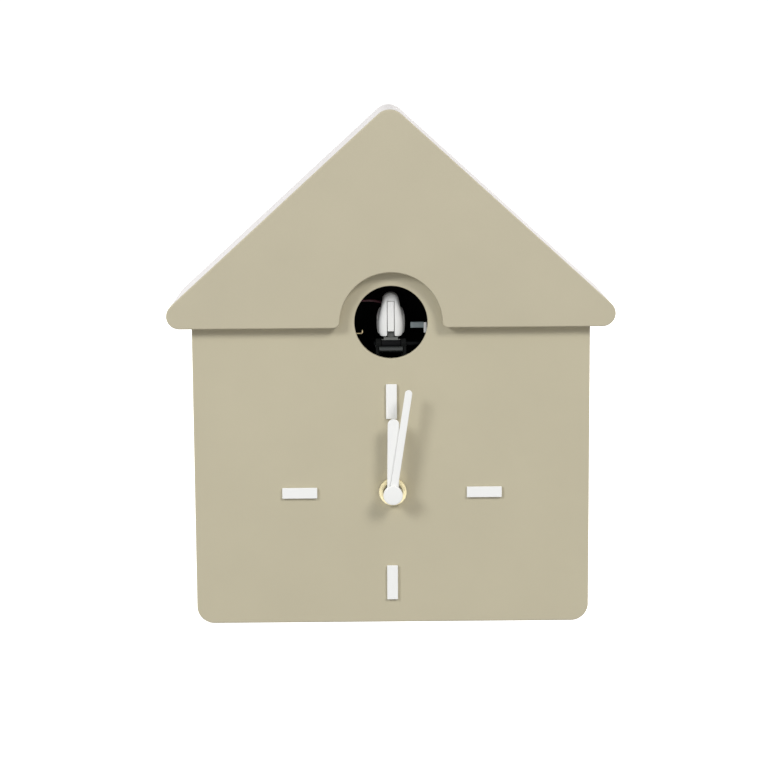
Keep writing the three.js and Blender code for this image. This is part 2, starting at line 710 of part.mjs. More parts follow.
// The bar in front of the ears, on which the lever's collar comes to rest when the bird is out.
function stopBar() {
  return rodX(crossBar.y, crossBar.z, crossBar.radius, -crossBar.half, crossBar.half, 16);
}

function leverAxle() {
  return rodX(pivot.y, pivot.z, 1.5, -8.4, cuckoo.half + 2.9);
}

// The lever: a hub on the axle, a collar under the bird and a stem inside it.
function birdLever() {
  const hubBar = rodX(pivot.y, pivot.z, 2.4, -4.6, 4.6);
  const collar = block(-3.5, 3.5, pivot.y - 1.5, pivot.y + 2.5, pivot.z + 1.5, pivot.z + 3.3);
  const stem = block(-1.6, 1.6, pivot.y + 0.9, pivot.y + 2.5, pivot.z, pivot.z + 12);
  return union([hubBar, collar, stem]).subtract(rodX(pivot.y, pivot.z, 1.65, -7, 7));
}

// A toothed sector that turns with the axle.
function sectorGear() {
  const pitch = 360 / birdGears.sector;
  const count = 13;
  const first = -10;
  const phase = -20 * degrees + pitch * degrees / 2;
  const teeth = toothedOutline(pivot.y, pivot.z, birdGears.sector, birdGears.module, phase, first, count);
  const outline = new THREE.Shape([new THREE.Vector2(pivot.y, pivot.z), ...teeth]);
  const x0 = cuckoo.half + 0.6;
  return alongX(outline, x0, x0 + 2).add(rodX(pivot.y, pivot.z, 3.2, x0, x0 + 2))
    .subtract(rodX(pivot.y, pivot.z, 1.65, x0 - 1, x0 + 3));
}

function compoundGear() {
  const x0 = cuckoo.half + 0.6;
  const wheelPhase = gapTowards(motorAngle, birdGears.compound);
  return union([
    gearX(compoundAxis, birdGears.leaves, birdGears.module, compoundFacing, x0, x0 + 3),
    gearX(compoundAxis, birdGears.compound, birdGears.module, wheelPhase, x0 + 2.9, x0 + 4.5),
  ]).subtract(rodX(compoundAxis.y, compoundAxis.z, 1.3, x0 - 1, x0 + 6, 14));
}

function motorPinion() {
  const x0 = cuckoo.half + 3.4;
  return gearX(motorAxis, birdGears.leaves, birdGears.module, motorAngle + Math.PI, x0, x0 + 1.9)
    .add(rodX(motorAxis.y, motorAxis.z, 1, 17, x0 + 2.6, 14));
}

function driveMotor() {
  const end = cuckoo.half - cuckoo.skin - gap;
  return turnedX(motorAxis.y, motorAxis.z, [
    [0, 0], [2, 0], [2, 1], [5.6, 1], [6, 1.6], [6, end - 0.6], [5.6, end], [1.4, end], [1.4, 16], [0, 16],
  ]);
}

// Half-widths of the bird's body at heights over the pivot, from its lobes up to its crown.
const bodyWidths = [[3.9, 5.2], [4.6, 5.7], [6.6, 5.95], [8.6, 6], [11.5, 5.95], [14.5, 5.5], [17.6, 4.9],
  [20.8, 4.2], [23.4, 3.4], [24.8, 2.3], [25.6, 0.8]];

// The body's outline as seen from the window, narrowed by a share of its width.
function birdOutline(share) {
  const right = bodyWidths.map(([z, half]) => new THREE.Vector2(half * share, pivot.z + z));
  const left = [...bodyWidths].reverse().map(([z, half]) => new THREE.Vector2(-half * share, pivot.z + z));
  return new THREE.Shape([...right, ...left]);
}

function birdHalf(share, y0, y1) {
  const bevel = 1.2;
  const geometry = new THREE.ExtrudeGeometry(birdOutline(share), {
    depth: y1 - y0 - 2 * bevel, bevelEnabled: true, bevelSize: 0.8, bevelOffset: -0.8, bevelThickness: bevel,
    bevelSegments: 2,
  });
  geometry.rotateX(Math.PI / 2);
  geometry.translate(0, y1 - bevel, 0);
  return solid(geometry);
}

// The bird, upright at rest with its belly to the window and narrower behind, where the wings lie.
function birdBody() {
  const z = pivot.z;
  const body = birdHalf(1, pivot.y - 1.1, pivot.y + 4).add(birdHalf(0.86, pivot.y + 1, pivot.y + 8.3));
  return cut(body, [
    block(-1.9, 1.9, pivot.y - 2, pivot.y + 2.8, z + 3, z + 12.3),
    block(-1.9, 1.9, pivot.y - 2, pivot.y + 0.9, z + 12, z + 21.5),
  ]);
}

// A folded wing beside the back, narrow at both ends, hinged along its rear edge.
function birdWing(side) {
  const z = pivot.z;
  const section = new THREE.Shape([
    new THREE.Vector2(pivot.y + 8.2, z + 6.5), new THREE.Vector2(pivot.y + 8.2, z + 17),
    new THREE.Vector2(pivot.y + 6.2, z + 18.5), new THREE.Vector2(pivot.y + 4.4, z + 15.5),
    new THREE.Vector2(pivot.y + 3.6, z + 10.5), new THREE.Vector2(pivot.y + 4.2, z + 6),
    new THREE.Vector2(pivot.y + 6, z + 4.3),
  ]);
  const inner = side * 5.9;
  const outer = side * 7.1;
  return alongX(section, Math.min(inner, outer), Math.max(inner, outer));
}

// The lower jaw on its long lever, which lies in the groove of the belly.
function birdJaw() {
  const z = pivot.z;
  return block(-1.6, 1.6, pivot.y - 0.8, pivot.y + 0.5, z + 6.3, z + 21.2);
}

// ---- Electrics ----

// The sound board with its sound chip, the tact switch and the slide switch under the cover.
function soundBoard() {
  return union([
    block(board.x0, board.x1, board.y0, board.y1, board.z0, board.z1),
    block(-62, -52, board.y1 - 0.2, board.y1 + 1.6, 112, 119),
    block(button.x - 3, button.x + 3, board.y1 - 0.2, board.y1 + 3.9, button.z - 3, button.z + 3),
    block(slider.x - 5, slider.x + 5, board.y1 - 0.2, board.y1 + 4.4, slider.z - 3, slider.z + 3),
    rodY(-38, 142, 3, board.y1 - 0.2, board.y1 + 6, 16),
  ]);
}

function speakerUnit() {
  const { x, z, radius } = speaker;
  return turnedY(x, z, [
    [0, 50], [11.5, 50], [12, 50.5], [12, 58], [16, 58], [22, 65.4], [radius, 65.4], [radius, 68.7],
    [radius - 2, 68.7], [radius - 4.5, 67.4], [8, 63], [6, 64.5], [0, 65],
  ], 32);
}

function batteryTray() {
  const t = bay.skin;
  const y1 = cover.y0 - gap;
  return block(bay.x0, bay.x1, bay.y0, y1, bay.z0, bay.z1)
    .subtract(block(bay.x0 + t, bay.x1 - t, bay.y0 + t, y1 + 1, bay.z0 + t, bay.z1 - t));
}

// A cell along X. Its raised end points to +X when facing is 1.
function cell(index, facing) {
  const z = battery.z + (index - 1) * battery.pitch;
  const half = battery.length / 2;
  const profile = [
    [0, -half], [battery.radius - 0.6, -half], [battery.radius, -half + 0.6], [battery.radius, half - 0.8],
    [battery.radius - 0.8, half], [battery.nubRadius, half], [battery.nubRadius, half + battery.nubLength],
    [0, half + battery.nubLength],
  ];
  const body = turnedX(battery.y, z, profile, 20);
  const turned = facing > 0 ? body : body.mirror([1, 0, 0]);
  return turned.translate([battery.x, 0, 0]);
}

// A contact plate at one end of the bay that touches the cells from one index to another.
function contact(side, from, to) {
  const inner = side > 0 ? bay.x1 - bay.skin - gap : bay.x0 + bay.skin + gap;
  const low = battery.z + (from - 1) * battery.pitch - 4.5;
  const high = battery.z + (to - 1) * battery.pitch + 4.5;
  const face = inner - side * 0.6;
  return block(Math.min(inner, face), Math.max(inner, face), battery.y - 4.5, battery.y + 4.5, low, high);
}

function switchSlider() {
  return union([
    block(slider.x - 7, slider.x + 7, 66.4, 68.6, slider.z - 3.4, slider.z + 3.4),
    block(slider.x - 2, slider.x + 2, 68.5, 71.4, slider.z - 2, slider.z + 2),
  ]);
}

function callButton() {
  return turnedY(button.x, button.z, [
    [0, 66.9], [1.5, 66.9], [1.5, 67.5], [3.9, 67.5], [3.9, 68.6], [2.6, 68.6], [2.6, 71.2], [2.2, 71.6],
    [0, 71.6],
  ], 20);
}

// A wire with its route through points chosen by hand, square-cut at both ends.
function wire(points) {
  const path = new THREE.CatmullRomCurve3(points.map(([x, y, z]) => new THREE.Vector3(x, y, z)), false,
    'centripetal');
  const section = new THREE.Shape(arcPoints(0, 0, lead.radius, 0, 2 * Math.PI * (1 - 1 / lead.sides),
    lead.sides - 1));
  const options = { steps: lead.steps, bevelEnabled: false, extrudePath: path };
  return solid(new THREE.ExtrudeGeometry(section, options));
}

function redLead() {
  return wire([
    [-24.2, 57, 54], [-18, 56.5, 56], [-15, 55, 70], [-17, 54, 92], [-25, 50, 118], [-33, 38, 140],
    [-34, 28, 153], [-29, 24.3, 158], [-24, 24, leadHoleZ], [-16, 24, leadHoleZ], [-8, 24, leadHoleZ],
    [-3.6, 24.2, 158.2], [-1.3, 25, 156], [-0.8, 26.6, 151], [-0.8, 29, 142], [-0.8, 30.4, 134],
    [-0.8, 30.4, 127.6],
  ]);
}

function blackLead() {
  return wire([
    [-29.2, 61, 122], [-20, 60.5, 119], [-6, 60, 112], [8, 60, 106], [20, 60.5, 104], [30.5, 61.5, 105],
  ]);
}

// ---- The clock ----
piece('front_wall_panel', frontWallPanel(), beigePlastic);
piece('roof_panel', roofPanel(), beigePlastic);
piece('roof_shell', roofShell(), whitePlastic);
piece('wall_shell', wallShell(), whitePlastic);
piece('back_cover', backCover(), whitePlastic);
piece('battery_door', batteryDoor(), whitePlastic);
coverScrews().forEach((at, i) => piece(`back_screw_${i + 1}`, backScrew(at), steel));
[12, 3, 6, 9].forEach((hour) => piece(`marker_${hour}`, hourMarker(hour * 30 * degrees), whiteLacquer));

piece('hour_hand', hand(hourHand, 2.75), whiteLacquer);
piece('minute_hand', hand(minuteHand, 1.65), whiteLacquer);
piece('hand_cap', handCap(), whiteLacquer);
piece('fixing_nut', fixingNut(), brass);
piece('fixing_washer', flatWasher(6.3, -0.7, -gap), steel);
piece('rubber_washer', flatWasher(8, 3.3, 4.1), blackRubber);

piece('movement_front_case', movementFrontCase(), blackPlastic);
piece('movement_rear_case', movementRearCase(), blackPlastic);
piece('centre_arbor', centreArbor(), brass);
piece('hour_wheel', hourWheel(), acetal);
piece('reversing_wheel', reversingWheel(), acetal);
piece('centre_wheel', centreWheel(), acetal);
piece('third_wheel', thirdWheel(), acetal);
piece('seconds_wheel', secondsWheel(), acetal);
piece('intermediate_wheel', intermediateWheel(), acetal);
piece('rotor', rotor(), steel);
piece('stator', stator(), steel);
piece('coil', coil(), copper);
piece('circuit_board', circuitBoard(), boardGreen);
piece('setting_knob', settingKnob(), blackPlastic);

piece('cuckoo_frame', cuckooFrame(), blackPlastic);
piece('bird_lever', birdLever(), greyPlastic);
piece('cross_bar', stopBar(), steel);
piece('lever_axle', leverAxle(), steel);
piece('sector_gear', sectorGear(), acetal);
piece('compound_gear', compoundGear(), acetal);
piece('drive_motor', driveMotor(), steel);
piece('motor_pinion', motorPinion(), brass);
piece('bird_body', birdBody(), birdWhite);
piece('bird_wing_left', birdWing(-1), birdGrey);
piece('bird_wing_right', birdWing(1), birdGrey);
piece('bird_jaw', birdJaw(), birdWhite);

piece('sound_board', soundBoard(), boardGreen);
piece('speaker', speakerUnit(), blackPlastic);
piece('battery_tray', batteryTray(), blackPlastic);
[1, -1, 1].forEach((facing, i) => piece(`battery_${i + 1}`, cell(i, facing), cellFinish));
piece('contact_minus', contact(-1, 0, 0), steel);
piece('contact_bridge_left', contact(-1, 1, 2), steel);
piece('contact_bridge_right', contact(1, 0, 1), steel);
piece('contact_plus', contact(1, 2, 2), steel);
piece('switch_slider', switchSlider(), blackPlastic);
piece('call_button', callButton(), blackPlastic);
piece('red_lead', redLead(), redWire);
piece('black_lead', blackLead(), blackWire);

export default clock;
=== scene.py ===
"""House-shaped cuckoo clock: the finished surfaces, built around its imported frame.

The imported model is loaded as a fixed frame, and every surface made here rides on one of its bodies.
Lengths are in metres, +Z is up and the dial faces -Y.
"""

from __future__ import annotations

import json
import logging
import math
from dataclasses import dataclass, field
from enum import Enum

import bmesh
import bpy
import numpy as np
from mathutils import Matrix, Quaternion, Vector
from mathutils.geometry import tessellate_polygon

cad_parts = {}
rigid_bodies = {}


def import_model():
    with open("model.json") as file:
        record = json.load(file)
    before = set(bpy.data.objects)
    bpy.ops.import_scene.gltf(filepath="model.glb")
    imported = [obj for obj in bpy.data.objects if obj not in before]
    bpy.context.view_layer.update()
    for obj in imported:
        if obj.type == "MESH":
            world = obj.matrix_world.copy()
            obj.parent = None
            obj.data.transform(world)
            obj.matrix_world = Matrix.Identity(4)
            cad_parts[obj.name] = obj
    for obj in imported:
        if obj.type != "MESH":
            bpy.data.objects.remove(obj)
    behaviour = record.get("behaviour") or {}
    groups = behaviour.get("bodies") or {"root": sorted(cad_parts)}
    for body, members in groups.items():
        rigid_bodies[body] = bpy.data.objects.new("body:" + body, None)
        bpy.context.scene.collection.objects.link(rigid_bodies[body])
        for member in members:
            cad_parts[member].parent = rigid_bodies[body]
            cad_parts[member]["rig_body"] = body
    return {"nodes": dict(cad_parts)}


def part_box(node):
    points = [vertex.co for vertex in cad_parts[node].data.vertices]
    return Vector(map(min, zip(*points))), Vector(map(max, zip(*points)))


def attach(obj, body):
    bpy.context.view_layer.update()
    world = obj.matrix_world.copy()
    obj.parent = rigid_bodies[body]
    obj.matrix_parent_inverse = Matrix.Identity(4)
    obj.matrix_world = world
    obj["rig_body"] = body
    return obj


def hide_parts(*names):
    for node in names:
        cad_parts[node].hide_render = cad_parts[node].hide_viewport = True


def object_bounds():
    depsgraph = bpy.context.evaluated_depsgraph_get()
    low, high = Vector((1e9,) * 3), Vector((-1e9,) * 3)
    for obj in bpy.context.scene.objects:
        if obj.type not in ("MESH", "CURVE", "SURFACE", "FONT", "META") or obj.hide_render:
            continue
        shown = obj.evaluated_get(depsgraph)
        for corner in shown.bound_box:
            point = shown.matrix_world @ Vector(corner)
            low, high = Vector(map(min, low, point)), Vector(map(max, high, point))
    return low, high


for leftover in list(bpy.data.objects):
    bpy.data.objects.remove(leftover)
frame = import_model()
CAD_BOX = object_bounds()

log = logging.getLogger("clock")

MM = 0.001
SMOOTH_UNDER = math.radians(34)
BAR_RIM = 0.25 * MM
EDGE = 0.3 * MM
SMALL_EDGE = 0.25 * MM
FINE_EDGE = 0.2 * MM


# ---- Places in the frame ----


@dataclass(frozen=True)
class Box:
    """The space that a node of the frame takes, in metres."""

    low: Vector
    high: Vector

    @classmethod
    def of(cls, node: str) -> Box:
        """The box of a node at rest.

        Args:
            node: The node's name in the frame.

        Returns:
            Its box.
        """
        return cls(*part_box(node))

    @property
    def centre(self) -> Vector:
        """The middle of the box."""
        return (self.low + self.high) / 2

    @property
    def size(self) -> Vector:
        """The box's three sides."""
        return self.high - self.low


# ---- Finishes ----


def linear(code: str) -> tuple[float, float, float, float]:
    """Turns a colour code such as #c2b9a2 into the values that a shader takes.

    Args:
        code: Two hexadecimal digits each for red, green and blue.

    Returns:
        Red, green and blue in linear light, and an alpha of 1.
    """
    parts = np.array([int(code[i : i + 2], 16) for i in (1, 3, 5)]) / 255
    light = np.where(parts <= 0.04045, parts / 12.92, ((parts + 0.055) / 1.055) ** 2.4)
    return (*light.tolist(), 1.0)


class Marks(Enum):
    """The way that a metal piece was worked, which sets how its fine lines run."""

    TURNED = "rings about an axle along Y"
    DRAWN = "lines along X"
    ROLLED = "lines along Z"


class Graph:
    """A material's node tree, with one call for each kind of detail that the finishes share."""

    def __init__(self, name: str) -> None:
        """Starts a material that holds only its shader.

        Args:
            name: The material's name.
        """
        self.material = bpy.data.materials.new(name)
        self.material.use_nodes = True
        self.tree = self.material.node_tree
        self.shader = self.tree.nodes["Principled BSDF"]

    def feed(self, socket: bpy.types.NodeSocket, value: object) -> None:
        """Links a socket to another, or sets it to a plain value."""
        if isinstance(value, bpy.types.NodeSocket):
            self.tree.links.new(value, socket)
        else:
            socket.default_value = value

    def shade(self, inputs: dict[str, object]) -> None:
        """Feeds the shader's inputs.

        Args:
            inputs: A value or a socket for each input, by its name.
        """
        for name, value in inputs.items():
            self.feed(self.shader.inputs[name], value)

    def add(self, kind: str, inputs: dict | None = None, **options: object) -> bpy.types.Node:
        """Adds a node.

        Args:
            kind: The node's type name.
            inputs: Values or sockets for its inputs, by input name or number.
            options: Settings of the node itself.

        Returns:
            The node.
        """
        node = self.tree.nodes.new(kind)
        for key, value in options.items():
            setattr(node, key, value)
        for key, value in (inputs or {}).items():
            self.feed(node.inputs[key], value)
        return node

    def place(self, centre: Vector | None = None, stretch: tuple = (1, 1, 1)) -> bpy.types.NodeSocket:
        """The surface's own place in the clock, from a centre and stretched on each axis.

        Args:
            centre: The point that becomes the pattern's middle.
            stretch: How many times closer together the pattern comes on each axis.

        Returns:
            A vector socket.
        """
        origin = centre or Vector((0, 0, 0))
        shift = [-origin[i] * stretch[i] for i in range(3)]
        own = self.add("ShaderNodeTexCoord").outputs["Object"]
        inputs = {"Vector": own, "Location": shift, "Scale": stretch}
        return self.add("ShaderNodeMapping", inputs).outputs[0]

    def noise(self, size: float, detail: float = 2.0, where: bpy.types.NodeSocket | None = None
              ) -> bpy.types.NodeSocket:
        """Cloudy noise from 0 to 1.

        Args:
            size: The width of one cloud, in metres.
            detail: How many finer layers it has.
            where: The place that it reads, or none for the surface's own.

        Returns:
            A value socket.
        """
        inputs = {"Vector": where or self.place(), "Scale": 1 / size, "Detail": detail}
        return self.add("ShaderNodeTexNoise", inputs).outputs["Fac"]

    def between(self, value: bpy.types.NodeSocket, low: float, high: float, start: float = 0.3,
                end: float = 0.7) -> bpy.types.NodeSocket:
        """Spreads a value that runs from start to end over low to high.

        Args:
            value: The socket to spread.
            low: The result at start.
            high: The result at end.
            start: Where the spread begins.
            end: Where it stops.

        Returns:
            A value socket.
        """
        inputs = {"Value": value, "From Min": start, "From Max": end, "To Min": low, "To Max": high}
        return self.add("ShaderNodeMapRange", inputs).outputs[0]

    def blend(self, factor: object, first: object, second: object) -> bpy.types.NodeSocket:
        """Mixes two colours.

        Args:
            factor: The share of the second, from 0 to 1.
            first: A colour or a socket.
            second: A colour or a socket.

        Returns:
            A colour socket.
        """
        node = self.add("ShaderNodeMix", {0: factor, 6: first, 7: second}, data_type="RGBA")
        return node.outputs[2]

    def mottled(self, colour: tuple, spread: float, size: float) -> bpy.types.NodeSocket:
        """A colour that drifts a little lighter and darker from place to place.

        Args:
            colour: The middle colour.
            spread: The share by which it drifts each way.
            size: The width of one patch, in metres.

        Returns:
            A colour socket.
        """
        darker = (*[c * (1 - spread) for c in colour[:3]], 1)
        lighter = (*[min(1.0, c * (1 + spread)) for c in colour[:3]], 1)
        return self.blend(self.between(self.noise(size, 3), 0, 1), darker, lighter)

    def relief(self, height: bpy.types.NodeSocket, depth: float, below: bpy.types.NodeSocket | None = None
               ) -> bpy.types.NodeSocket:
        """Surface relief from a height that runs from 0 to 1.

        Args:
            height: The height.
            depth: How deep the relief is, in metres.
            below: Coarser relief that this one lies on.

        Returns:
            A normal socket.
        """
        inputs = {"Height": height, "Distance": depth, "Strength": 1.0}
        if below is not None:
            inputs["Normal"] = below
        return self.add("ShaderNodeBump", inputs).outputs["Normal"]

    def axis(self, letter: str) -> bpy.types.NodeSocket:
        """One coordinate of the surface's own place, by its letter."""
        own = self.add("ShaderNodeTexCoord").outputs["Object"]
        return self.add("ShaderNodeSeparateXYZ", {"Vector": own}).outputs[letter]

    def above(self, value: bpy.types.NodeSocket, limit: float) -> bpy.types.NodeSocket:
        """1 where a value is over the limit, and 0 elsewhere."""
        return self.add("ShaderNodeMath", {0: value, 1: limit}, operation="GREATER_THAN").outputs[0]

    def lines(self, pitch: float, direction: str, rings: bool = False,
              where: bpy.types.NodeSocket | None = None, wobble: float = 0.0) -> bpy.types.NodeSocket:
        """Even lines or rings from 0 to 1.

        Args:
            pitch: The distance from one line to the next, in metres.
            direction: The axis that lines are counted along, or that rings go round.
            rings: Whether they are rings.
            where: The place that they are read at, or none for the surface's own.
            wobble: How uneven they are.

        Returns:
            A value socket.
        """
        turns_per_unit = 20 / (2 * math.pi)
        scale = 1 / (pitch * turns_per_unit)
        inputs = {"Vector": where or self.place(), "Scale": scale, "Distortion": wobble}
        key = "rings_direction" if rings else "bands_direction"
        options = {"wave_type": "RINGS" if rings else "BANDS", key: direction}
        return self.add("ShaderNodeTexWave", inputs, **options).outputs["Fac"]


@dataclass(frozen=True)
class Finish:
    """A named finish. Each kind paints its own node tree, once."""

    name: str
    slot: str
    colour: str
    roughness: float

    def material(self) -> bpy.types.Material:
        """The finish's material, made the first time that it is asked for."""
        made = bpy.data.materials.get(self.name)
        if made is None:
            graph = Graph(self.name)
            self.paint(graph)
            made = graph.material
        return made

    def paint(self, graph: Graph) -> None:
        """Fills in the node tree.

        Args:
            graph: The tree to fill.
        """
        raise NotImplementedError

    def vary_roughness(self, graph: Graph, spread: float, size: float) -> None:
        """Lets the roughness drift by a spread over patches of a size in metres."""
        patches = graph.noise(size, 2)
        value = graph.between(patches, self.roughness - spread, self.roughness + spread)
        graph.shade({"Roughness": value})


def darker(colour: str, share: float) -> tuple[float, ...]:
    """A linear colour with its red, green and blue scaled by a share.

    Args:
        colour: The colour as a hash and six hexadecimal digits.
        share: What each is multiplied by.

    Returns:
        Red, green, blue and alpha.
    """
    return (*[value * share for value in linear(colour)[:3]], 1)


@dataclass(frozen=True)
class SprayedPaint(Finish):
    """Sprayed matt paint on a panel: broad drifts of tone, fine specks and a faint orange peel."""

    drift: float = 0.018
    peel_size: float = 0.9 * MM
    peel_depth: float = 0.012 * MM
    cloud_size: float = 38 * MM
    patch_size: float = 9 * MM
    speck_size: float = 0.35 * MM
    speck_tone: float = 0.72
    grit_size: float = 0.22 * MM
    grit_depth: float = 0.004 * MM

    def paint(self, graph: Graph) -> None:
        """Paints drifts and specks into the colour, and peel and grit into the relief."""
        base = graph.mottled(linear(self.colour), self.drift, self.cloud_size)
        specks = graph.between(graph.noise(self.speck_size, 1), 0, 0.10, 0.62, 0.75)
        dark = darker(self.colour, self.speck_tone)
        graph.shade({"Base Color": graph.blend(specks, base, dark)})
        self.vary_roughness(graph, 0.05, self.patch_size)
        peel = graph.relief(graph.noise(self.peel_size, 1), self.peel_depth)
        grit = graph.relief(graph.noise(self.grit_size, 1), self.grit_depth, peel)
        graph.shade({"Normal": grit, "Specular IOR Level": 0.3})


@dataclass(frozen=True)
class Moulded(Finish):
    """Moulded plastic or rubber: an even colour, a spark-eroded grain and faint flow marks."""

    grain_size: float = 0.28 * MM
    grain_depth: float = 0.01 * MM
    flow_size: float = 14 * MM
    drift: float = 0.03
    lustre: float = 0.5
    coat: float = 0.0
    glow_depth: float = 0.0
    patch_size: float = 5 * MM
    wave_size: float = 2.2 * MM

    def paint(self, graph: Graph) -> None:
        """Paints flow marks into the colour and the grain into the relief."""
        base = graph.mottled(linear(self.colour), self.drift, self.flow_size)
        graph.shade({"Base Color": base})
        self.vary_roughness(graph, 0.06, self.patch_size)
        cells = graph.add("ShaderNodeTexVoronoi", {"Vector": graph.place(), "Scale": 1 / self.grain_size})
        grain = graph.relief(cells.outputs["Distance"], self.grain_depth)
        waves = graph.relief(graph.noise(self.wave_size, 2), self.grain_depth, grain)
        graph.shade({"Normal": waves, "Specular IOR Level": self.lustre, "Coat Weight": self.coat})
        if self.glow_depth:
            graph.shade({
                "Subsurface Weight": 1.0, "Subsurface Radius": (1.0, 0.97, 0.92),
                "Subsurface Scale": self.glow_depth})


@dataclass(frozen=True)
class PaintedShadeBelow(Moulded):
    """Moulded plastic that is darker under a height: the lower tone is painted shade."""

    lower: str = "#000000"
    step: float = 0.0

    def paint(self, graph: Graph) -> None:
        """Paints the upper tone, and the painted shade under the height, over the grain."""
        super().paint(graph)
        # Painted shade: under the step the colour is the near-black lower tone, not the plastic's own grey.
        over = graph.above(graph.axis("Z"), self.step)
        upper = graph.mottled(linear(self.colour), self.drift, self.flow_size)
        tone_over_painted_shade = graph.blend(over, linear(self.lower), upper)
        graph.shade({"Base Color": tone_over_painted_shade})


@dataclass(frozen=True)
class Metal(Finish):
    """Plain metal with the fine lines that its working left."""

    marks: Marks = Marks.DRAWN
    line_size: float = 0.12 * MM
    line_depth: float = 0.003 * MM
    tarnish_size: float = 2.5 * MM
    patch_size: float = 1.5 * MM
    line_low_tone: float = 0.8

    def worked(self, graph: Graph) -> bpy.types.NodeSocket:
        """The working lines as a height from 0 to 1.

        Args:
            graph: The tree to add them to.

        Returns:
            A value socket.
        """
        if self.marks is Marks.TURNED:
            centre = graph.place(Box.of("fixing_nut").centre)
            return graph.lines(self.line_size, "Y", True, centre, 1.5)
        stretch = (0.04, 1, 1) if self.marks is Marks.DRAWN else (1, 1, 0.04)
        return graph.noise(self.line_size, 2, graph.place(None, stretch))

    def paint(self, graph: Graph) -> None:
        """Paints tarnish into the colour, darkens it in the low parts of the working lines, and puts the
        lines into the relief.
        """
        base = graph.mottled(linear(self.colour), 0.08, self.tarnish_size)
        lines = self.worked(graph)
        # Darker in the low parts of the working lines.
        line_low_colour = darker(self.colour, self.line_low_tone)
        line_low_share = graph.between(lines, 0.25, 0)
        graph.shade({"Base Color": graph.blend(line_low_share, base, line_low_colour)})
        self.vary_roughness(graph, 0.08, self.patch_size)
        graph.shade({"Normal": graph.relief(lines, self.line_depth), "Metallic": 1.0})


@dataclass(frozen=True)
class Winding(Finish):
    """Enamelled wire wound about an axle along X."""

    wire: float = 0.16 * MM
    tone_size: float = 1.2 * MM
    groove_shade_tone: float = 0.3

    def paint(self, graph: Graph) -> None:
        """Paints each turn of wire as a ridge, with painted shade darkening the grooves between turns."""
        turns = graph.lines(self.wire, "X", False, None, 0.6)
        # Painted shade in the grooves between turns.
        groove = darker(self.colour, self.groove_shade_tone)
        base = graph.blend(turns, groove, graph.mottled(linear(self.colour), 0.15, self.tone_size))
        graph.shade({
            "Base Color": base, "Normal": graph.relief(turns, self.wire * 0.4), "Metallic": 0.85,
            "Roughness": self.roughness})


@dataclass(frozen=True)
class SolderMask(Finish):
    """A circuit board: green mask with paler tracks and tinned holes, and black parts standing on it."""

    face: float = 0.0
    parts_behind: bool = True
    track_gap: float = 0.25 * MM
    track_length: float = 6.2 * MM
    track_pitch: float = 1.9 * MM
    track_depth: float = 0.02 * MM
    hole_pitch: float = 3.4 * MM
    tone_size: float = 3 * MM
    patch_size: float = 2 * MM

    def paint(self, graph: Graph) -> None:
        """Paints tracks, tinned holes and the black parts beyond the board's face."""
        tracks = graph.add("ShaderNodeTexBrick", {
            "Vector": graph.add("ShaderNodeMapping", {
                "Vector": graph.place(), "Rotation": (math.pi / 2, 0, 0)}).outputs[0],
            "Scale": 1.0, "Mortar Size": self.track_gap, "Mortar Smooth": 0.2,
            "Brick Width": self.track_length, "Row Height": self.track_pitch}).outputs["Fac"]
        green = graph.mottled(linear(self.colour), 0.12, self.tone_size)
        pale = linear("#5f8f5c")
        holes = graph.add("ShaderNodeTexVoronoi", {"Vector": graph.place(), "Scale": 1 / self.hole_pitch})
        tinned = graph.between(holes.outputs["Distance"], 1, 0, 0.13, 0.16)
        masked = graph.blend(tinned, graph.blend(tracks, green, pale), linear("#c9cac6"))
        beyond = graph.above(graph.axis("Y"), self.face)
        on_parts = beyond if self.parts_behind else graph.between(beyond, 1, 0, 0, 1)
        graph.shade({"Base Color": graph.blend(on_parts, masked, linear("#1a1b1c"))})
        self.vary_roughness(graph, 0.08, self.patch_size)
        graph.shade({"Normal": graph.relief(tracks, self.track_depth)})


@dataclass(frozen=True)
class CellSleeve(Finish):
    """A dry cell's printed sleeve: two plain tones along the cell and bare metal at its ends."""

    low_x: float = 0.0
    high_x: float = 1.0
    tone_size: float = 6 * MM
    patch_size: float = 4 * MM
    wave_size: float = 1.5 * MM
    wave_depth: float = 0.01 * MM

    def paint(self, graph: Graph) -> None:
        """Paints the two tones, the metal ends and the seam's soft waviness."""
        along = graph.between(graph.axis("X"), 0, 1, self.low_x, self.high_x)
        dark = graph.mottled(linear(self.colour), 0.06, self.tone_size)
        two_tone = graph.blend(graph.above(along, 0.68), dark, linear("#b9bcbc"))
        ends = graph.above(graph.add("ShaderNodeMath", {0: graph.add(
            "ShaderNodeMath", {0: along, 1: 0.5}, operation="SUBTRACT").outputs[0]},
            operation="ABSOLUTE").outputs[0], 0.483)
        graph.shade({"Base Color": graph.blend(ends, two_tone, linear("#c4c6c8")), "Metallic": ends})
        self.vary_roughness(graph, 0.08, self.patch_size)
        graph.shade({"Normal": graph.relief(graph.noise(self.wave_size, 2), self.wave_depth)})


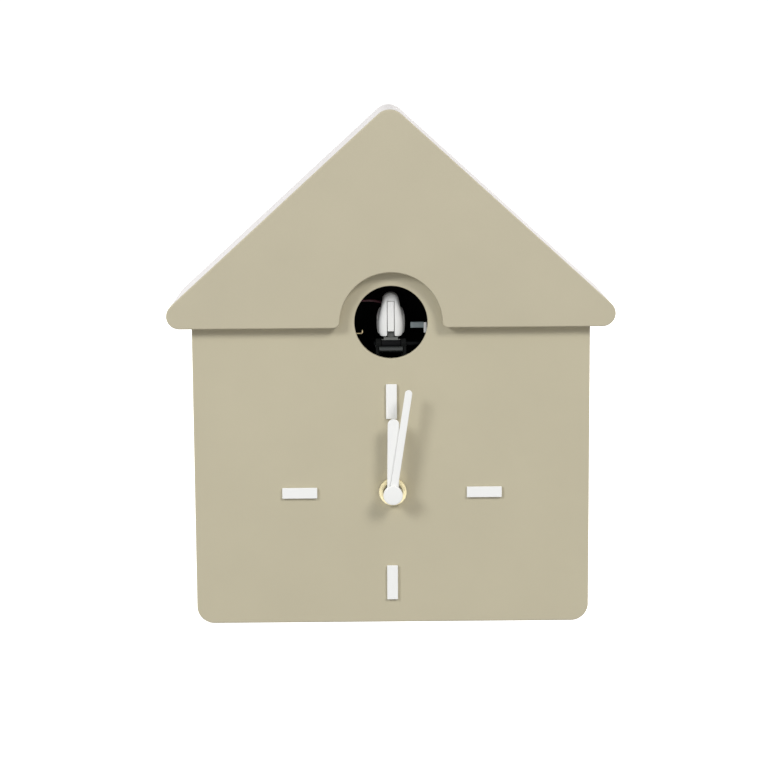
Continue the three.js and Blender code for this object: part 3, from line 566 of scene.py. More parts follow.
WALL_PAINT = SprayedPaint("wall_paint", "beige_plastic", "#c3bba2", 0.62)
ROOF_PAINT = SprayedPaint("roof_paint", "beige_plastic", "#c1b9a1", 0.62)
CASING = Moulded("casing_plastic", "white_casing", "#f4f0ef", 0.45, drift=0.012)
LACQUER = Moulded("white_lacquer", "white_lacquer", "#f5fdfc", 0.34, grain_size=0.9 * MM,
                  grain_depth=0.004 * MM, drift=0.012, coat=0.2)
BRASS = Metal("turned_brass", "bright_brass", "#e8deba", 0.62, marks=Marks.TURNED)
SPRING_BRASS = Metal("spring_brass", "bright_brass", "#f0d9ad", 0.42, marks=Marks.ROLLED)
DARK_STEEL = Metal("blackened_steel", "bright_steel", "#151617", 0.5, marks=Marks.DRAWN)
STEEL = Metal("drawn_steel", "bright_steel", "#bfc2c6", 0.34, marks=Marks.DRAWN)
PLATE_STEEL = Metal("rolled_steel", "bright_steel", "#b4b7ba", 0.38, marks=Marks.ROLLED)
RUBBER = Moulded("black_rubber", "black_rubber", "#1d1d1d", 0.85, drift=0.1, lustre=0.3)
BLACK = Moulded("black_plastic", "black_plastic", "#0f1010", 0.55, drift=0.08, lustre=0.2)
MATT_BLACK = Moulded("matt_black_plastic", "black_plastic", "#0f1010", 0.8, drift=0.08, lustre=0.1)
DARK_GREY = Moulded("dark_grey_plastic", "grey_plastic", "#4a4b4a", 0.5)
# Painted shade: the stop bar's grey steel is coloured near-black for the shade it lies in inside the box.
STOP_BAR_PAINTED_SHADE = Moulded("stop_bar_painted_shade", "bright_steel", "#262929", 0.45)
# Painted shade: the guide's arm, white plastic like its tab, is coloured blue-grey for the shade it lies
# in.
GUIDE_ARM_PAINTED_SHADE = Moulded("guide_arm_painted_shade", "grey_plastic", "#7c878a", 0.42)
ACETAL = Moulded("acetal", "acetal", "#e8e5d8", 0.38, drift=0.04, coat=0.1)
BIRD_WHITE = Moulded("bird_white", "bird_white", "#fbfaf8", 0.36, drift=0.015, coat=0.15, glow_depth=3 * MM)
# Painted shade: the wings are coloured grey for the shade they lie in beside the body.
WING_GREY_PAINTED_SHADE = Moulded("bird_grey", "bird_grey", "#b4b4b1", 0.42)
COPPER = Winding("copper_winding", "copper_winding", "#c07545", 0.35)
# Painted shade: the red insulation is darkened to a dim pink for the shade it runs in inside the box.
RED_LEAD_PAINTED_SHADE = Moulded("red_insulation_painted_shade", "red_wire", "#7f4b56", 0.55, grain_size=0.6 * MM, coat=0.1)
BLACK_LEAD = Moulded("black_insulation", "black_wire", "#1c1c1d", 0.4, grain_size=0.6 * MM, coat=0.1)


# ---- Surfaces ----


def arc(centre: tuple[float, float], radius: float, start: float, end: float, steps: int) -> np.ndarray:
    """Points on a circle: the centre plus the radius times the cosine and sine of an even run of angles.

    Args:
        centre: The circle's centre.
        radius: Its radius.
        start: The first angle, in radians.
        end: The last angle.
        steps: How many steps lie between them.

    Returns:
        An array of steps + 1 points.
    """
    turn = np.linspace(start, end, steps + 1)
    return np.stack([centre[0] + radius * np.cos(turn), centre[1] + radius * np.sin(turn)], 1)


def rounded_corner(before: tuple, corner: tuple, after: tuple, radius: float, steps: int = 14
                   ) -> np.ndarray:
    """The arc that rounds a corner: its centre lies on the bisector, radius / sin(half angle) away.

    Args:
        before: The corner before this one.
        corner: The sharp corner.
        after: The corner after it.
        radius: The arc's radius, or 0 to leave the corner sharp.
        steps: How many steps the arc has.

    Returns:
        The arc's points, from the side of before to the side of after.
    """
    here = np.array(corner, float)
    if radius <= 0:
        return here[None]
    back = (np.array(before) - here) / np.linalg.norm(np.array(before) - here)
    ahead = (np.array(after) - here) / np.linalg.norm(np.array(after) - here)
    half = math.acos(float(back @ ahead)) / 2
    middle = here + (back + ahead) / np.linalg.norm(back + ahead) * radius / math.sin(half)
    reach = radius / math.tan(half)
    start, end = (here + side * reach - middle for side in (back, ahead))
    first = math.atan2(start[1], start[0])
    sweep = (math.atan2(end[1], end[0]) - first + math.pi) % (2 * math.pi) - math.pi
    return arc((middle[0], middle[1]), radius, first, first + sweep, steps)


def closed_loop(corners: list[tuple[float, float, float]]) -> np.ndarray:
    """A closed loop through corners that are each rounded by their radius.

    Args:
        corners: Each corner's x, z and radius.

    Returns:
        The loop's points.
    """
    spots = [corner[:2] for corner in corners]
    after = spots[1:] + spots[:1]
    arcs = [rounded_corner(spots[i - 1], spots[i], after[i], corners[i][2]) for i in range(len(corners))]
    return np.concatenate(arcs)


def drawn_in(loop: np.ndarray, inset: float) -> np.ndarray:
    """A closed loop moved to its left: each point goes along the mitre of its two edges' normals.

    Args:
        loop: The loop's points, with the material on its left.
        inset: How far it moves into the material.

    Returns:
        The moved points.
    """
    edge = np.roll(loop, -1, 0) - loop
    edge /= np.linalg.norm(edge, axis=1)[:, None]
    left = np.stack([-edge[:, 1], edge[:, 0]], 1)
    both = left + np.roll(left, 1, 0)
    return loop + inset * both / (1 + np.sum(left * np.roll(left, 1, 0), 1))[:, None]


def woven(rows: int, columns: int, start: int, loop_rows: bool, loop_columns: bool) -> np.ndarray:
    """The four-sided faces of a grid: each point with its neighbours to the right, diagonally and above.

    Args:
        rows: Rows of points.
        columns: Points in a row.
        start: The number of the grid's first point.
        loop_rows: Whether the last row joins the first.
        loop_columns: Whether the last column joins the first.

    Returns:
        An array with four point numbers for each face.
    """
    last_row, last_column = rows - (not loop_rows), columns - (not loop_columns)
    r, c = np.meshgrid(np.arange(last_row), np.arange(last_column), indexing="ij")
    up, on = (r + 1) % rows, (c + 1) % columns
    corners = [r * columns + c, r * columns + on, up * columns + on, up * columns + c]
    return np.stack(corners, -1).reshape(-1, 4) + start


@dataclass
class Skin:
    """One closed surface, gathered from grids of points and flat caps."""

    points: list[np.ndarray] = field(default_factory=list)
    faces: list[list[int]] = field(default_factory=list)

    @property
    def count(self) -> int:
        """How many points there are so far."""
        return sum(len(p) for p in self.points)

    def add_grid(self, grid: np.ndarray, loop_rows: bool = False, loop_columns: bool = True) -> None:
        """Adds a grid of points with a face between each four.

        Args:
            grid: The points, as rows by columns by three.
            loop_rows: Whether the last row joins the first.
            loop_columns: Whether the last column joins the first.
        """
        rows, columns = grid.shape[:2]
        self.faces += woven(rows, columns, self.count, loop_rows, loop_columns).tolist()
        self.points.append(grid.reshape(-1, 3))

    def add_cap(self, loops: list[np.ndarray]) -> None:
        """Closes flat loops with triangles. The first is the outline and the others are holes.

        Args:
            loops: The loops' points, each an array with three columns.
        """
        numbers = np.arange(sum(len(loop) for loop in loops)) + self.count
        triangles = tessellate_polygon([[Vector(p) for p in loop] for loop in loops])
        self.faces += [[int(numbers[i]) for i in t] for t in triangles]
        self.points += loops

    def piece(self, name: str, finish: Finish, body: str, replaces: tuple[str, ...] = ()
              ) -> bpy.types.Object:
        """Makes the surface a piece of the clock: points that meet are joined and faces turned outwards.

        Args:
            name: The piece's name.
            finish: Its finish.
            body: The body that it rides on.
            replaces: Nodes of the frame that it stands for.

        Returns:
            The piece.
        """
        mesh = bpy.data.meshes.new(name)
        mesh.from_pydata(np.concatenate(self.points).tolist(), [], self.faces)
        return finished(name, mesh, finish, body, replaces, dissolve=False)


def finished(name: str, mesh: bpy.types.Mesh, finish: Finish, body: str, replaces: tuple[str, ...],
             dissolve: bool) -> bpy.types.Object:
    """Cleans a mesh and makes it a piece that rides on a body.

    Args:
        name: The piece's name.
        mesh: The mesh, in the clock's frame.
        finish: The piece's finish.
        body: The body that it rides on.
        replaces: Nodes of the frame that it stands for.
        dissolve: Whether flat neighbours are joined into one face.

    Returns:
        The piece.
    """
    tool = bmesh.new()
    tool.from_mesh(mesh)
    bmesh.ops.remove_doubles(tool, verts=tool.verts, dist=2e-6)
    bmesh.ops.dissolve_degenerate(tool, edges=tool.edges, dist=1e-7)
    if dissolve:
        bmesh.ops.dissolve_limit(tool, angle_limit=math.radians(0.4), verts=tool.verts, edges=tool.edges)
    bmesh.ops.recalc_face_normals(tool, faces=tool.faces)
    if tool.calc_volume(signed=True) < 0:
        bmesh.ops.reverse_faces(tool, faces=tool.faces)
    tool.to_mesh(mesh)
    tool.free()
    mesh.shade_smooth()
    mesh.set_sharp_from_angle(angle=SMOOTH_UNDER)
    mesh.materials.append(finish.material())
    piece = bpy.data.objects.new(name, mesh)
    bpy.context.scene.collection.objects.link(piece)
    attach(piece, body)
    if replaces:
        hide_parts(*replaces)
    log.info("%s: %d faces, rides on %s", name, len(mesh.polygons), body)
    return piece


def even_normals(piece: bpy.types.Object) -> bpy.types.Object:
    """Lets wide faces set the shading of the narrow rims beside them."""
    even = piece.modifiers.new("even_normals", "WEIGHTED_NORMAL")
    even.keep_sharp = True
    even.weight = 100
    return piece


def softened(node: str, finish: Finish, edge: float, segments: int = 2) -> bpy.types.Object:
    """A moulded piece with the node's own shape and its sharp edges rounded, which stands for the node.

    Args:
        node: The node of the frame.
        finish: The piece's finish.
        edge: The width of the rounding, in metres, or 0 for none.
        segments: How many faces go round an edge.

    Returns:
        The piece.
    """
    source = frame["nodes"][node]
    points = np.empty(len(source.data.vertices) * 3)
    source.data.vertices.foreach_get("co", points)
    corners = np.empty(len(source.data.loops), int)
    source.data.loops.foreach_get("vertex_index", corners)
    mesh = bpy.data.meshes.new(node)
    mesh.from_pydata(points.reshape(-1, 3).tolist(), [], corners.reshape(-1, 3).tolist())
    piece = finished(f"{node}_finished", mesh, finish, source["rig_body"], (node,), dissolve=True)
    if edge:
        bevel = piece.modifiers.new("rounded_edges", "BEVEL")
        bevel.width = edge
        bevel.segments = segments
        bevel.limit_method = "ANGLE"
        bevel.angle_limit = math.radians(40)
        bevel.use_clamp_overlap = True
    return even_normals(piece)


def dressed(node: str, finish: Finish) -> None:
    """Gives a node of the frame, which stays as it is, a finish."""
    mesh = frame["nodes"][node].data
    mesh.materials.clear()
    mesh.materials.append(finish.material())
    log.info("%s: %s", node, finish.name)


@dataclass(frozen=True)
class Plate:
    """A flat plate across Y with rounded rims.

    A rim is a quarter circle: at a turn t from the face, the loop is drawn in by rim * (1 - sin t) and lies
    rim * (1 - cos t) behind the face.
    """

    outline: np.ndarray
    holes: tuple[np.ndarray, ...]
    front: float
    back: float
    rim: float
    steps: int = 4

    def ring_stack(self, loop: np.ndarray) -> np.ndarray:
        """The loop carried from the front face over both rims to the back face.

        Args:
            loop: The loop at its full size.

        Returns:
            Rows of points.
        """
        turn = np.linspace(0, math.pi / 2, self.steps + 1)
        inset = self.rim * (1 - np.sin(turn))
        depth = self.rim * (1 - np.cos(turn))
        insets = np.concatenate([inset, inset[::-1]])
        places = np.concatenate([self.front + depth, self.back - depth[::-1]])
        rows = [drawn_in(loop, by) for by in insets]
        return np.stack([np.insert(row, 1, y, axis=1) for row, y in zip(rows, places)])

    def skin(self) -> Skin:
        """The plate's closed surface."""
        made = Skin()
        stacks = [self.ring_stack(loop) for loop in (self.outline, *self.holes)]
        for stack in stacks:
            made.add_grid(stack)
        for row in (0, -1):
            made.add_cap([stack[row] for stack in stacks])
        return made


def flat_bar(x: tuple[float, float], z: tuple[float, float], y: tuple[float, float], corner: float) -> Skin:
    """A flat bar that faces along Y, with round corners and rims.

    Args:
        x: Its left and right ends.
        z: Its lower and upper ends.
        y: Its front and back.
        corner: The radius of its corners.

    Returns:
        The surface.
    """
    spots = [(x[0], z[0]), (x[1], z[0]), (x[1], z[1]), (x[0], z[1])]
    loop = closed_loop([(*spot, corner) for spot in spots])
    return Plate(loop, (), *y, BAR_RIM, 3).skin()


def turned(profile: np.ndarray, centre: tuple[float, float], sides: int = 64) -> Skin:
    """A profile turned about an axle along Y: x = cx + r cos t, z = cz + r sin t, for t round a full turn.

    Args:
        profile: Rows of radius and y, closed where it starts and ends off the axle at one point.
        centre: The axle's x and z.
        sides: How many steps the turn has.

    Returns:
        The surface.
    """
    turn = np.arange(sides) * 2 * math.pi / sides
    radius, along = profile[:, 0][:, None], profile[:, 1][:, None]
    grid = np.stack([
        centre[0] + radius * np.cos(turn), np.broadcast_to(along, (len(profile), sides)),
        centre[1] + radius * np.sin(turn)], -1)
    made = Skin()
    made.add_grid(grid)
    return made


def eased(profile: np.ndarray, closed: bool, reach: float, steps: int = 3) -> np.ndarray:
    """A profile with its corners eased: each corner becomes a short curve, (1-t)^2 a + 2t(1-t) c + t^2 b.

    Args:
        profile: The corner points.
        closed: Whether the last point joins the first.
        reach: How far from each corner the easing starts, at most.
        steps: How many steps each curve has.

    Returns:
        The points of the eased profile.
    """
    before, after = np.roll(profile, 1, 0), np.roll(profile, -1, 0)
    back, ahead = before - profile, after - profile
    back_length = np.linalg.norm(back, axis=1)[:, None]
    ahead_length = np.linalg.norm(ahead, axis=1)[:, None]
    near = np.minimum(reach, 0.45 * np.minimum(back_length, ahead_length))
    start, end = profile + back / back_length * near, profile + ahead / ahead_length * near
    t = np.linspace(0, 1, steps + 1)[None, :, None]
    curves = (1 - t) ** 2 * start[:, None] + 2 * t * (1 - t) * profile[:, None] + t**2 * end[:, None]
    if closed:
        return curves.reshape(-1, 2)
    return np.concatenate([profile[:1], curves[1:-1].reshape(-1, 2), profile[-1:]])


def tube(path: np.ndarray, radius: float, sides: int = 12) -> Skin:
    """A round wire: at each point of the path, a circle across it, with rounded-off ends.

    The circle's two directions are the cross products of the path's direction with a fixed side direction.

    Args:
        path: The path's points.
        radius: The wire's radius.
        sides: How many sides the circle has.

    Returns:
        The surface.
    """
    along = np.gradient(path, axis=0)
    along /= np.linalg.norm(along, axis=1)[:, None]
    across = np.cross(along, np.array([0.0, 1.0, 0.0]))
    across /= np.linalg.norm(across, axis=1)[:, None]
    upright = np.cross(along, across)
    turn = np.arange(sides) * 2 * math.pi / sides
    ring = across[:, None] * np.cos(turn)[None, :, None] + upright[:, None] * np.sin(turn)[None, :, None]
    made = Skin()
    made.add_grid(path[:, None] + radius * ring)
    shrink = np.array([1.0, 0.8, 0.4, 0.0])[:, None, None] * radius
    lift = np.array([0.0, 0.5, 0.9, 1.0])[:, None, None] * radius
    for end, sign in ((0, -1), (-1, 1)):
        made.add_grid(path[end] + shrink * ring[end][None] + sign * lift * along[end])
    return made


# ---- The house ----


@dataclass
class House:
    """The wall panel, the roof panel over it and the white casing behind them."""

    slope: float = 0.9072
    wall_corner: float = 8.5 * MM
    wall_apex: float = 5.7 * MM
    roof_apex: float = 8.5 * MM
    roof_eave: float = 6.4 * MM
    window_height: float = 151.5 * MM
    window_radius: float = 18 * MM
    arch_radius: float = 25.2 * MM
    arch_fillet: float = 3 * MM
    hub_hole: float = 4.3 * MM
    rim: float = 0.55 * MM
    casing_edge: float = 0.6 * MM

    def sharp_apex(self, top: float, radius: float) -> float:
        """The height of an apex before its rounding, radius * (1 / sin(half angle) - 1) over its top.

        Args:
            top: The height of the rounded top.
            radius: The rounding's radius.

        Returns:
            The height where the two slopes would meet.
        """
        half = math.pi / 2 - math.atan(self.slope)
        return top + radius * (1 / math.sin(half) - 1)

    def wall_outline(self, box: Box) -> np.ndarray:
        """The gable wall's outline, with round lower corners and a round apex.

        Args:
            box: The wall panel's box.

        Returns:
            The closed loop, material on its left.
        """
        half = box.size.x / 2
        apex = self.sharp_apex(box.high.z, self.wall_apex)
        shoulder = apex - self.slope * half
        corners = [(-half, 0, self.wall_corner), (half, 0, self.wall_corner), (half, shoulder, 0),
                   (0, apex, self.wall_apex), (-half, shoulder, 0)]
        return closed_loop(corners)

    def roof_outline(self, box: Box) -> np.ndarray:
        """The roof panel's outline: two eaves, an apex and the arch over the bird's window.

        Args:
            box: The roof panel's box.

        Returns:
            The closed loop, material on its left.
        """
        eave = box.low.z
        apex = self.sharp_apex(box.high.z, self.roof_apex)
        reach = (apex - eave) / self.slope
        right = rounded_corner((0, eave), (reach, eave), (0, apex), self.roof_eave)
        top = rounded_corner((reach, eave), (0, apex), (-reach, eave), self.roof_apex)
        left = rounded_corner((0, apex), (-reach, eave), (0, eave), self.roof_eave)
        fillet_z = eave + self.arch_fillet
        rise = fillet_z - self.window_height
        fillet_x = math.sqrt((self.arch_radius + self.arch_fillet) ** 2 - rise**2)
        spring = math.atan2(rise, fillet_x)
        quarter = math.pi / 2
        into = arc((-fillet_x, fillet_z), self.arch_fillet, -quarter, -spring, 10)
        over = arc((0, self.window_height), self.arch_radius, math.pi - spring, spring, 72)
        out = arc((fillet_x, fillet_z), self.arch_fillet, math.pi + spring, 3 * quarter, 10)
        return np.concatenate([left, into, over[1:-1], out, right, top])

    def build(self) -> None:
        """Builds the two panels."""
        wall, roof = Box.of("front_wall_panel"), Box.of("roof_panel")
        hub = Box.of("fixing_nut").centre
        window = arc((0, self.window_height), self.window_radius, 0, -2 * math.pi, 96)[:-1]
        socket = arc((hub.x, hub.z), self.hub_hole, 0, -2 * math.pi, 32)[:-1]
        wall_plate = Plate(self.wall_outline(wall), (window, socket), wall.low.y, wall.high.y, self.rim)
        even_normals(wall_plate.skin().piece("wall_face", WALL_PAINT, "root", ("front_wall_panel",)))
        roof_plate = Plate(self.roof_outline(roof), (), roof.low.y, roof.high.y, self.rim)
        even_normals(roof_plate.skin().piece("roof_face", ROOF_PAINT, "root", ("roof_panel",)))

    def dress(self) -> None:
        """Finishes the white casing behind the panels."""
        softened("roof_shell", CASING, self.casing_edge, 3)
        softened("wall_shell", CASING, self.casing_edge, 3)


# ---- The dial ----


@dataclass(frozen=True)
class HandShape:
    """A flat round-ended hand that grows out of a round eye."""

    length: float
    width: float
    eye: float
    bore: float
    angle: float

    def outline(self, hub: Vector) -> np.ndarray:
        """The hand's outline about its hub: the eye's arc, then the bar and its round tip, all turned
        clockwise by the hand's angle.

        Args:
            hub: The point that it turns about.

        Returns:
            The closed loop, material on its left.
        """
        half = self.width / 2
        lean = math.asin(half / self.eye)
        quarter = math.pi / 2
        ring = arc((0, 0), self.eye, quarter + lean, 5 * quarter - lean, 36)
        tip = arc((0, self.length - half), half, 0, math.pi, 18)
        loop = np.concatenate([ring, tip])
        cosine, sine = math.cos(self.angle), math.sin(self.angle)
        turned_loop = loop @ np.array([[cosine, -sine], [sine, cosine]])
        return turned_loop + np.array([hub.x, hub.z])


@dataclass
class Dial:
    """Four bar marks, two hands, the cap over them and the brass nut behind."""

    hour: HandShape = HandShape(37.8 * MM, 5.8 * MM, 4.6 * MM, 2.75 * MM, math.radians(0.74))
    minute: HandShape = HandShape(53 * MM, 3.6 * MM, 4.3 * MM, 1.65 * MM, math.radians(8.9))
    mark_corner: float = 0.35 * MM
    cap_rim: float = 0.3 * MM
    cap_lip: float = 0.55 * MM
    nut_rim: float = 0.22 * MM
    nut_slope: float = 0.35 * MM
    hand_rim: float = 0.3 * MM
    cap_dome: float = 0.25 * MM
    nut_bore: float = 4.15 * MM
    nut_lip: float = 2.0 * MM
    nut_dish: float = 0.3 * MM

    def mark(self, node: str) -> None:
        """Builds one bar mark over its node."""
        box = Box.of(node)
        bar = flat_bar((box.low.x, box.high.x), (box.low.z, box.high.z), (box.low.y, box.high.y),
                       self.mark_corner)
        even_normals(bar.piece(f"{node}_bar", LACQUER, "root", (node,)))

    def hand(self, node: str, shape: HandShape, hub: Vector, body: str) -> None:
        """Builds one hand in place of its node.

        Args:
            node: The hand's node.
            shape: The hand's sizes.
            hub: The point that it turns about.
            body: The body that it rides on.
        """
        box = Box.of(node)
        eye = arc((hub.x, hub.z), shape.bore, 0, -2 * math.pi, 32)[:-1]
        plate = Plate(shape.outline(hub), (eye,), box.low.y, box.high.y, self.hand_rim, 3)
        even_normals(plate.skin().piece(f"{node}_blade", LACQUER, body, (node,)))

    def cap(self, hub: Vector) -> None:
        """Builds the cap: a disc with a low dome, dome * (1 - (r / R)^2) high, and a rounded rim."""
        box = Box.of("hand_cap")
        radius = box.size.x / 2
        inner = radius - self.cap_rim
        across = np.linspace(0, inner, 12)
        dome = np.stack([across, box.low.y + self.cap_dome * (across / radius) ** 2], 1)
        edge = np.array([[radius, box.low.y + self.cap_lip], [radius, box.high.y - self.cap_rim],
                         [inner, box.high.y], [0, box.high.y]])
        profile = np.concatenate([dome, edge])
        smooth = np.concatenate([profile[:10], eased(profile[10:], False, self.cap_rim)])
        disc = turned(smooth, (hub.x, hub.z))
        even_normals(disc.piece("hand_cap_disc", LACQUER, "minute", ("hand_cap",)))

    def nut(self, hub: Vector) -> None:
        """Builds the brass nut: a flat bright lip round a dished face."""
        box = Box.of("fixing_nut")
        radius = box.size.x / 2
        front, back = box.low.y, box.high.y
        inner = radius - self.nut_lip
        profile = np.array([
            [self.nut_bore, back], [radius, back], [radius, front], [inner, front],
            [inner - self.nut_slope, front + self.nut_dish], [self.nut_bore, front + self.nut_dish]])
        ring = eased(profile, True, self.nut_rim)
        made = turned(np.concatenate([ring, ring[:1]]), (hub.x, hub.z), 72)
        made.piece("brass_nut", BRASS, "root", ("fixing_nut",))

    def build(self) -> None:
        """Builds marks, hands, cap and nut."""
        hub = Box.of("fixing_nut").centre
        for hour in (12, 3, 6, 9):
            self.mark(f"marker_{hour}")
        self.hand("hour_hand", self.hour, hub, "hour")
        self.hand("minute_hand", self.minute, hub, "minute")
        self.cap(hub)
        self.nut(hub)

    def dress(self) -> None:
        """Finishes the washers behind the nut."""
        dressed("fixing_washer", STEEL)
        dressed("rubber_washer", RUBBER)


# ---- The bird ----


@dataclass
class Bird:
    """The bird on its lever: a round body with a groove down its belly, two wings and a jaw."""

    heights: tuple[float, ...] = (0, 0.03, 0.1, 0.215, 0.35, 0.49, 0.63, 0.78, 0.88, 1)
    widths: tuple[float, ...] = (5.5, 5.85, 6.05, 6.15, 6.05, 5.55, 5.0, 4.3, 3.85, 3.5)
    widest: float = 6.15 * MM
    crown: float = 0.85
    crown_power: float = 2.2
    groove: float = 1.9 * MM
    groove_top: float = 21.5 * MM
    groove_floor: float = 0.9 * MM
    groove_columns: int = 5
    pocket_top: float = 12.3 * MM
    pocket_floor: float = 2.8 * MM
    level_count: int = 56
    level_bias: float = 1.7
    side_columns: int = 12
    back_steps: int = 28
    lobe_lift: float = 0.5 * MM
    lobe_middle: float = 3.65 * MM
    lobe_half: float = 1.9 * MM
    lobe_top: float = 0.2
    squareness: float = 2.9
    flatness: float = 0.3
    wing_gap: float = 0.12 * MM
    wing_share: float = 0.95
    wing_thick: tuple[float, float] = (0.5 * MM, 1.5 * MM)
    wing_tip: float = 0.25
    rear_share: float = 0.96
    collar_gap: float = 0.6 * MM

    @staticmethod
    def curve(at: np.ndarray, knots: np.ndarray, values: np.ndarray) -> np.ndarray:
        """A smooth curve through knots: a cubic between each two, with slopes from their neighbours.

        Args:
            at: Where it is read.
            knots: The knots' places, in rising order.
            values: The values at the knots.

        Returns:
            The curve's values.
        """
        slopes = np.gradient(values, knots)
        i = np.clip(np.searchsorted(knots, at) - 1, 0, len(knots) - 2)
        span = knots[i + 1] - knots[i]
        t = (at - knots[i]) / span
        return ((2 * t**3 - 3 * t**2 + 1) * values[i] + (t**3 - 2 * t**2 + t) * span * slopes[i]
                + (3 * t**2 - 2 * t**3) * values[i + 1] + (t**3 - t**2) * span * slopes[i + 1])

    def half_width(self, levels: np.ndarray) -> np.ndarray:
        """Half the body's width, w(s) * (1 - c^p)^(1/p), where c runs from 0 to 1 over the crown.

        Args:
            levels: Shares of the body's height, from 0 to 1.

        Returns:
            The half-widths in metres.
        """
        side = self.curve(levels, np.array(self.heights), np.array(self.widths)) * MM
        over = np.clip((levels - self.crown) / (1 - self.crown), 0, 1)
        return side * (1 - over**self.crown_power) ** (1 / self.crown_power)

    def body(self, pivot: Vector) -> None:
        """Builds the body as a stack of sections.

        At each height the section is a flattened ellipse, |x / w|^p + |y / d|^p = 1. Its front columns
        stand on both sides of the groove, and between them they drop to the groove's floor. The groove
        ends in flat steps, because each top is there twice. Over the lobes at the bottom each point is
        lifted by the cube of its distance from the lobe's middle.

        Args:
            pivot: The middle of the lever's axle.
        """
        box = Box.of("bird_body")
        low, tall = box.low.z, box.size.z
        share = 1 - (1 - np.linspace(0, 1, self.level_count)) ** self.level_bias
        tops = [(top + pivot.z - low) / tall for top in (self.pocket_top, self.groove_top)]
        levels = np.sort(np.concatenate([share, tops, tops]))
        order = np.arange(len(levels))
        in_pocket, in_groove = (order <= np.searchsorted(levels, top) for top in tops)
        floor = pivot.y + np.where(in_pocket, self.pocket_floor, self.groove_floor)
        width = self.half_width(levels)
        middle, half_depth = box.centre.y, box.size.y / 2
        depth = half_depth * np.clip(width / self.widest, 0, 1) ** self.flatness
        front = self.front_half(width, depth, middle, floor, in_groove)
        section = np.concatenate([front, self.back_half(width, depth, middle)], 1)
        fade = np.clip(1 - levels / self.lobe_top, 0, 1)[:, None] ** 2
        from_middle = (np.abs(section[..., 0]) - self.lobe_middle) / self.lobe_half
        lift = self.lobe_lift * np.abs(from_middle) ** 3 * fade
        height = (low + levels * tall)[:, None]
        grid = np.insert(section, 2, height + lift, axis=2)
        made = Skin()
        made.add_grid(grid)
        made.add_cap([grid[0]])
        made.piece("bird_figure", BIRD_WHITE, "bird", ("bird_body",))

    def back_half(self, width: np.ndarray, depth: np.ndarray, middle: float) -> np.ndarray:
        """The back half of each section: x = w * cos(t)^(2/p) and y = d * sin(t)^(2/p).

        Args:
            width: Half the width of each section.
            depth: Half its depth.
            middle: The y of the sections' widest line.

        Returns:
            Rows of x and y.
        """
        turn = np.linspace(0, math.pi, self.back_steps + 1)[1:-1]
        power = 2 / self.squareness
        x = width[:, None] * np.sign(np.cos(turn)) * np.abs(np.cos(turn)) ** power
        y = middle + depth[:, None] * np.abs(np.sin(turn)) ** power
        return np.stack([x, y], -1)

    def front_half(self, width: np.ndarray, depth: np.ndarray, middle: float, floor: np.ndarray,
                   in_groove: np.ndarray) -> np.ndarray:
        """The front half of each section, from its left edge over the groove to its right edge.

        Args:
            width: Half the width of each section.
            depth: Half its depth.
            middle: The y of the sections' widest line.
            floor: The y of the groove's floor at each section.
            in_groove: Whether each section is cut by the groove.

        Returns:
            Rows of x and y.
        """
        lip = np.minimum(self.groove, 0.9 * width)[:, None]
        turn = np.linspace(0, math.pi / 2, self.side_columns)
        left = -width[:, None] + (width[:, None] - lip) * (1 - np.cos(turn))
        across = lip * np.linspace(-1, 1, self.groove_columns)
        x = np.concatenate([left, across, -left[:, ::-1]], 1)
        reach = np.clip(1 - np.abs(x / np.maximum(width[:, None], 1e-6)) ** self.squareness, 0, 1)
        y = middle - depth[:, None] * reach ** (1 / self.squareness)
        column = np.arange(x.shape[1]) - self.side_columns
        sunk = in_groove[:, None] & ((column >= 0) & (column < self.groove_columns))[None]
        return np.stack([x, np.where(sunk, np.maximum(y, floor[:, None]), y)], -1)

    def wing(self, side: int) -> None:
        """Builds a folded wing: a leaf that hugs the body and tapers to both ends.

        At a share s of its height the leaf's half-depth and thickness both follow
        (1 - |2s - 1|^1.8)^(1/2), and its inner face keeps a gap from the body's surface.

        Args:
            side: -1 for the left wing and 1 for the right.
        """
        name = "left" if side < 0 else "right"
        box, torso = Box.of(f"bird_wing_{name}"), Box.of("bird_body")
        outer = max(abs(box.low.x), abs(box.high.x))
        share = np.linspace(0, 1, 41)[:, None]
        turn = np.linspace(0, 2 * math.pi, 40, endpoint=False)[None]
        taper = np.sqrt(np.clip(1 - np.abs(2 * share - 1) ** 1.8, 0, 1))
        half = box.size.y / 2 * taper
        z = box.low.z + share * box.size.z * self.wing_share
        skin = self.half_width((z - torso.low.z) / torso.size.z) * self.rear_share + self.wing_gap
        thick = np.clip(outer - skin, *self.wing_thick) * (self.wing_tip + (1 - self.wing_tip) * taper)
        across, out = np.cos(turn), np.sin(turn)
        swell = 0.5 + 0.5 * np.sign(out) * np.abs(out) ** 0.8
        x = skin + thick * swell
        y = box.centre.y + half * across
        grid = np.stack([side * x, y, np.broadcast_to(z, y.shape)], -1)
        made = Skin()
        made.add_grid(grid)
        # The leaf's grey is painted shade.
        made.piece(f"wing_{name}_leaf", WING_GREY_PAINTED_SHADE, f"wing_{name}", (f"bird_wing_{name}",))

    def build(self) -> None:
        """Builds the body and both wings."""
        self.body(Box.of("lever_axle").centre)
        for side in (-1, 1):
            self.wing(side)

    def dress(self) -> None:
        """Finishes the jaw and the lever."""
        softened("bird_jaw", BIRD_WHITE, FINE_EDGE)
        # Painted shade: the lever under its axle's collar is coloured near-black for the shade it lies in.
        step = Box.of("lever_axle").high.z + self.collar_gap
        lever = PaintedShadeBelow("lever_plastic_painted_shade", "grey_plastic", "#6c6d6b", 0.7, lustre=0.12, lower="#08080a",
                        step=step)
        softened("bird_lever", lever, SMALL_EDGE)
        dressed("lever_axle", DARK_STEEL)
        dressed("sector_gear", ACETAL)


# ---- The bird's box ----


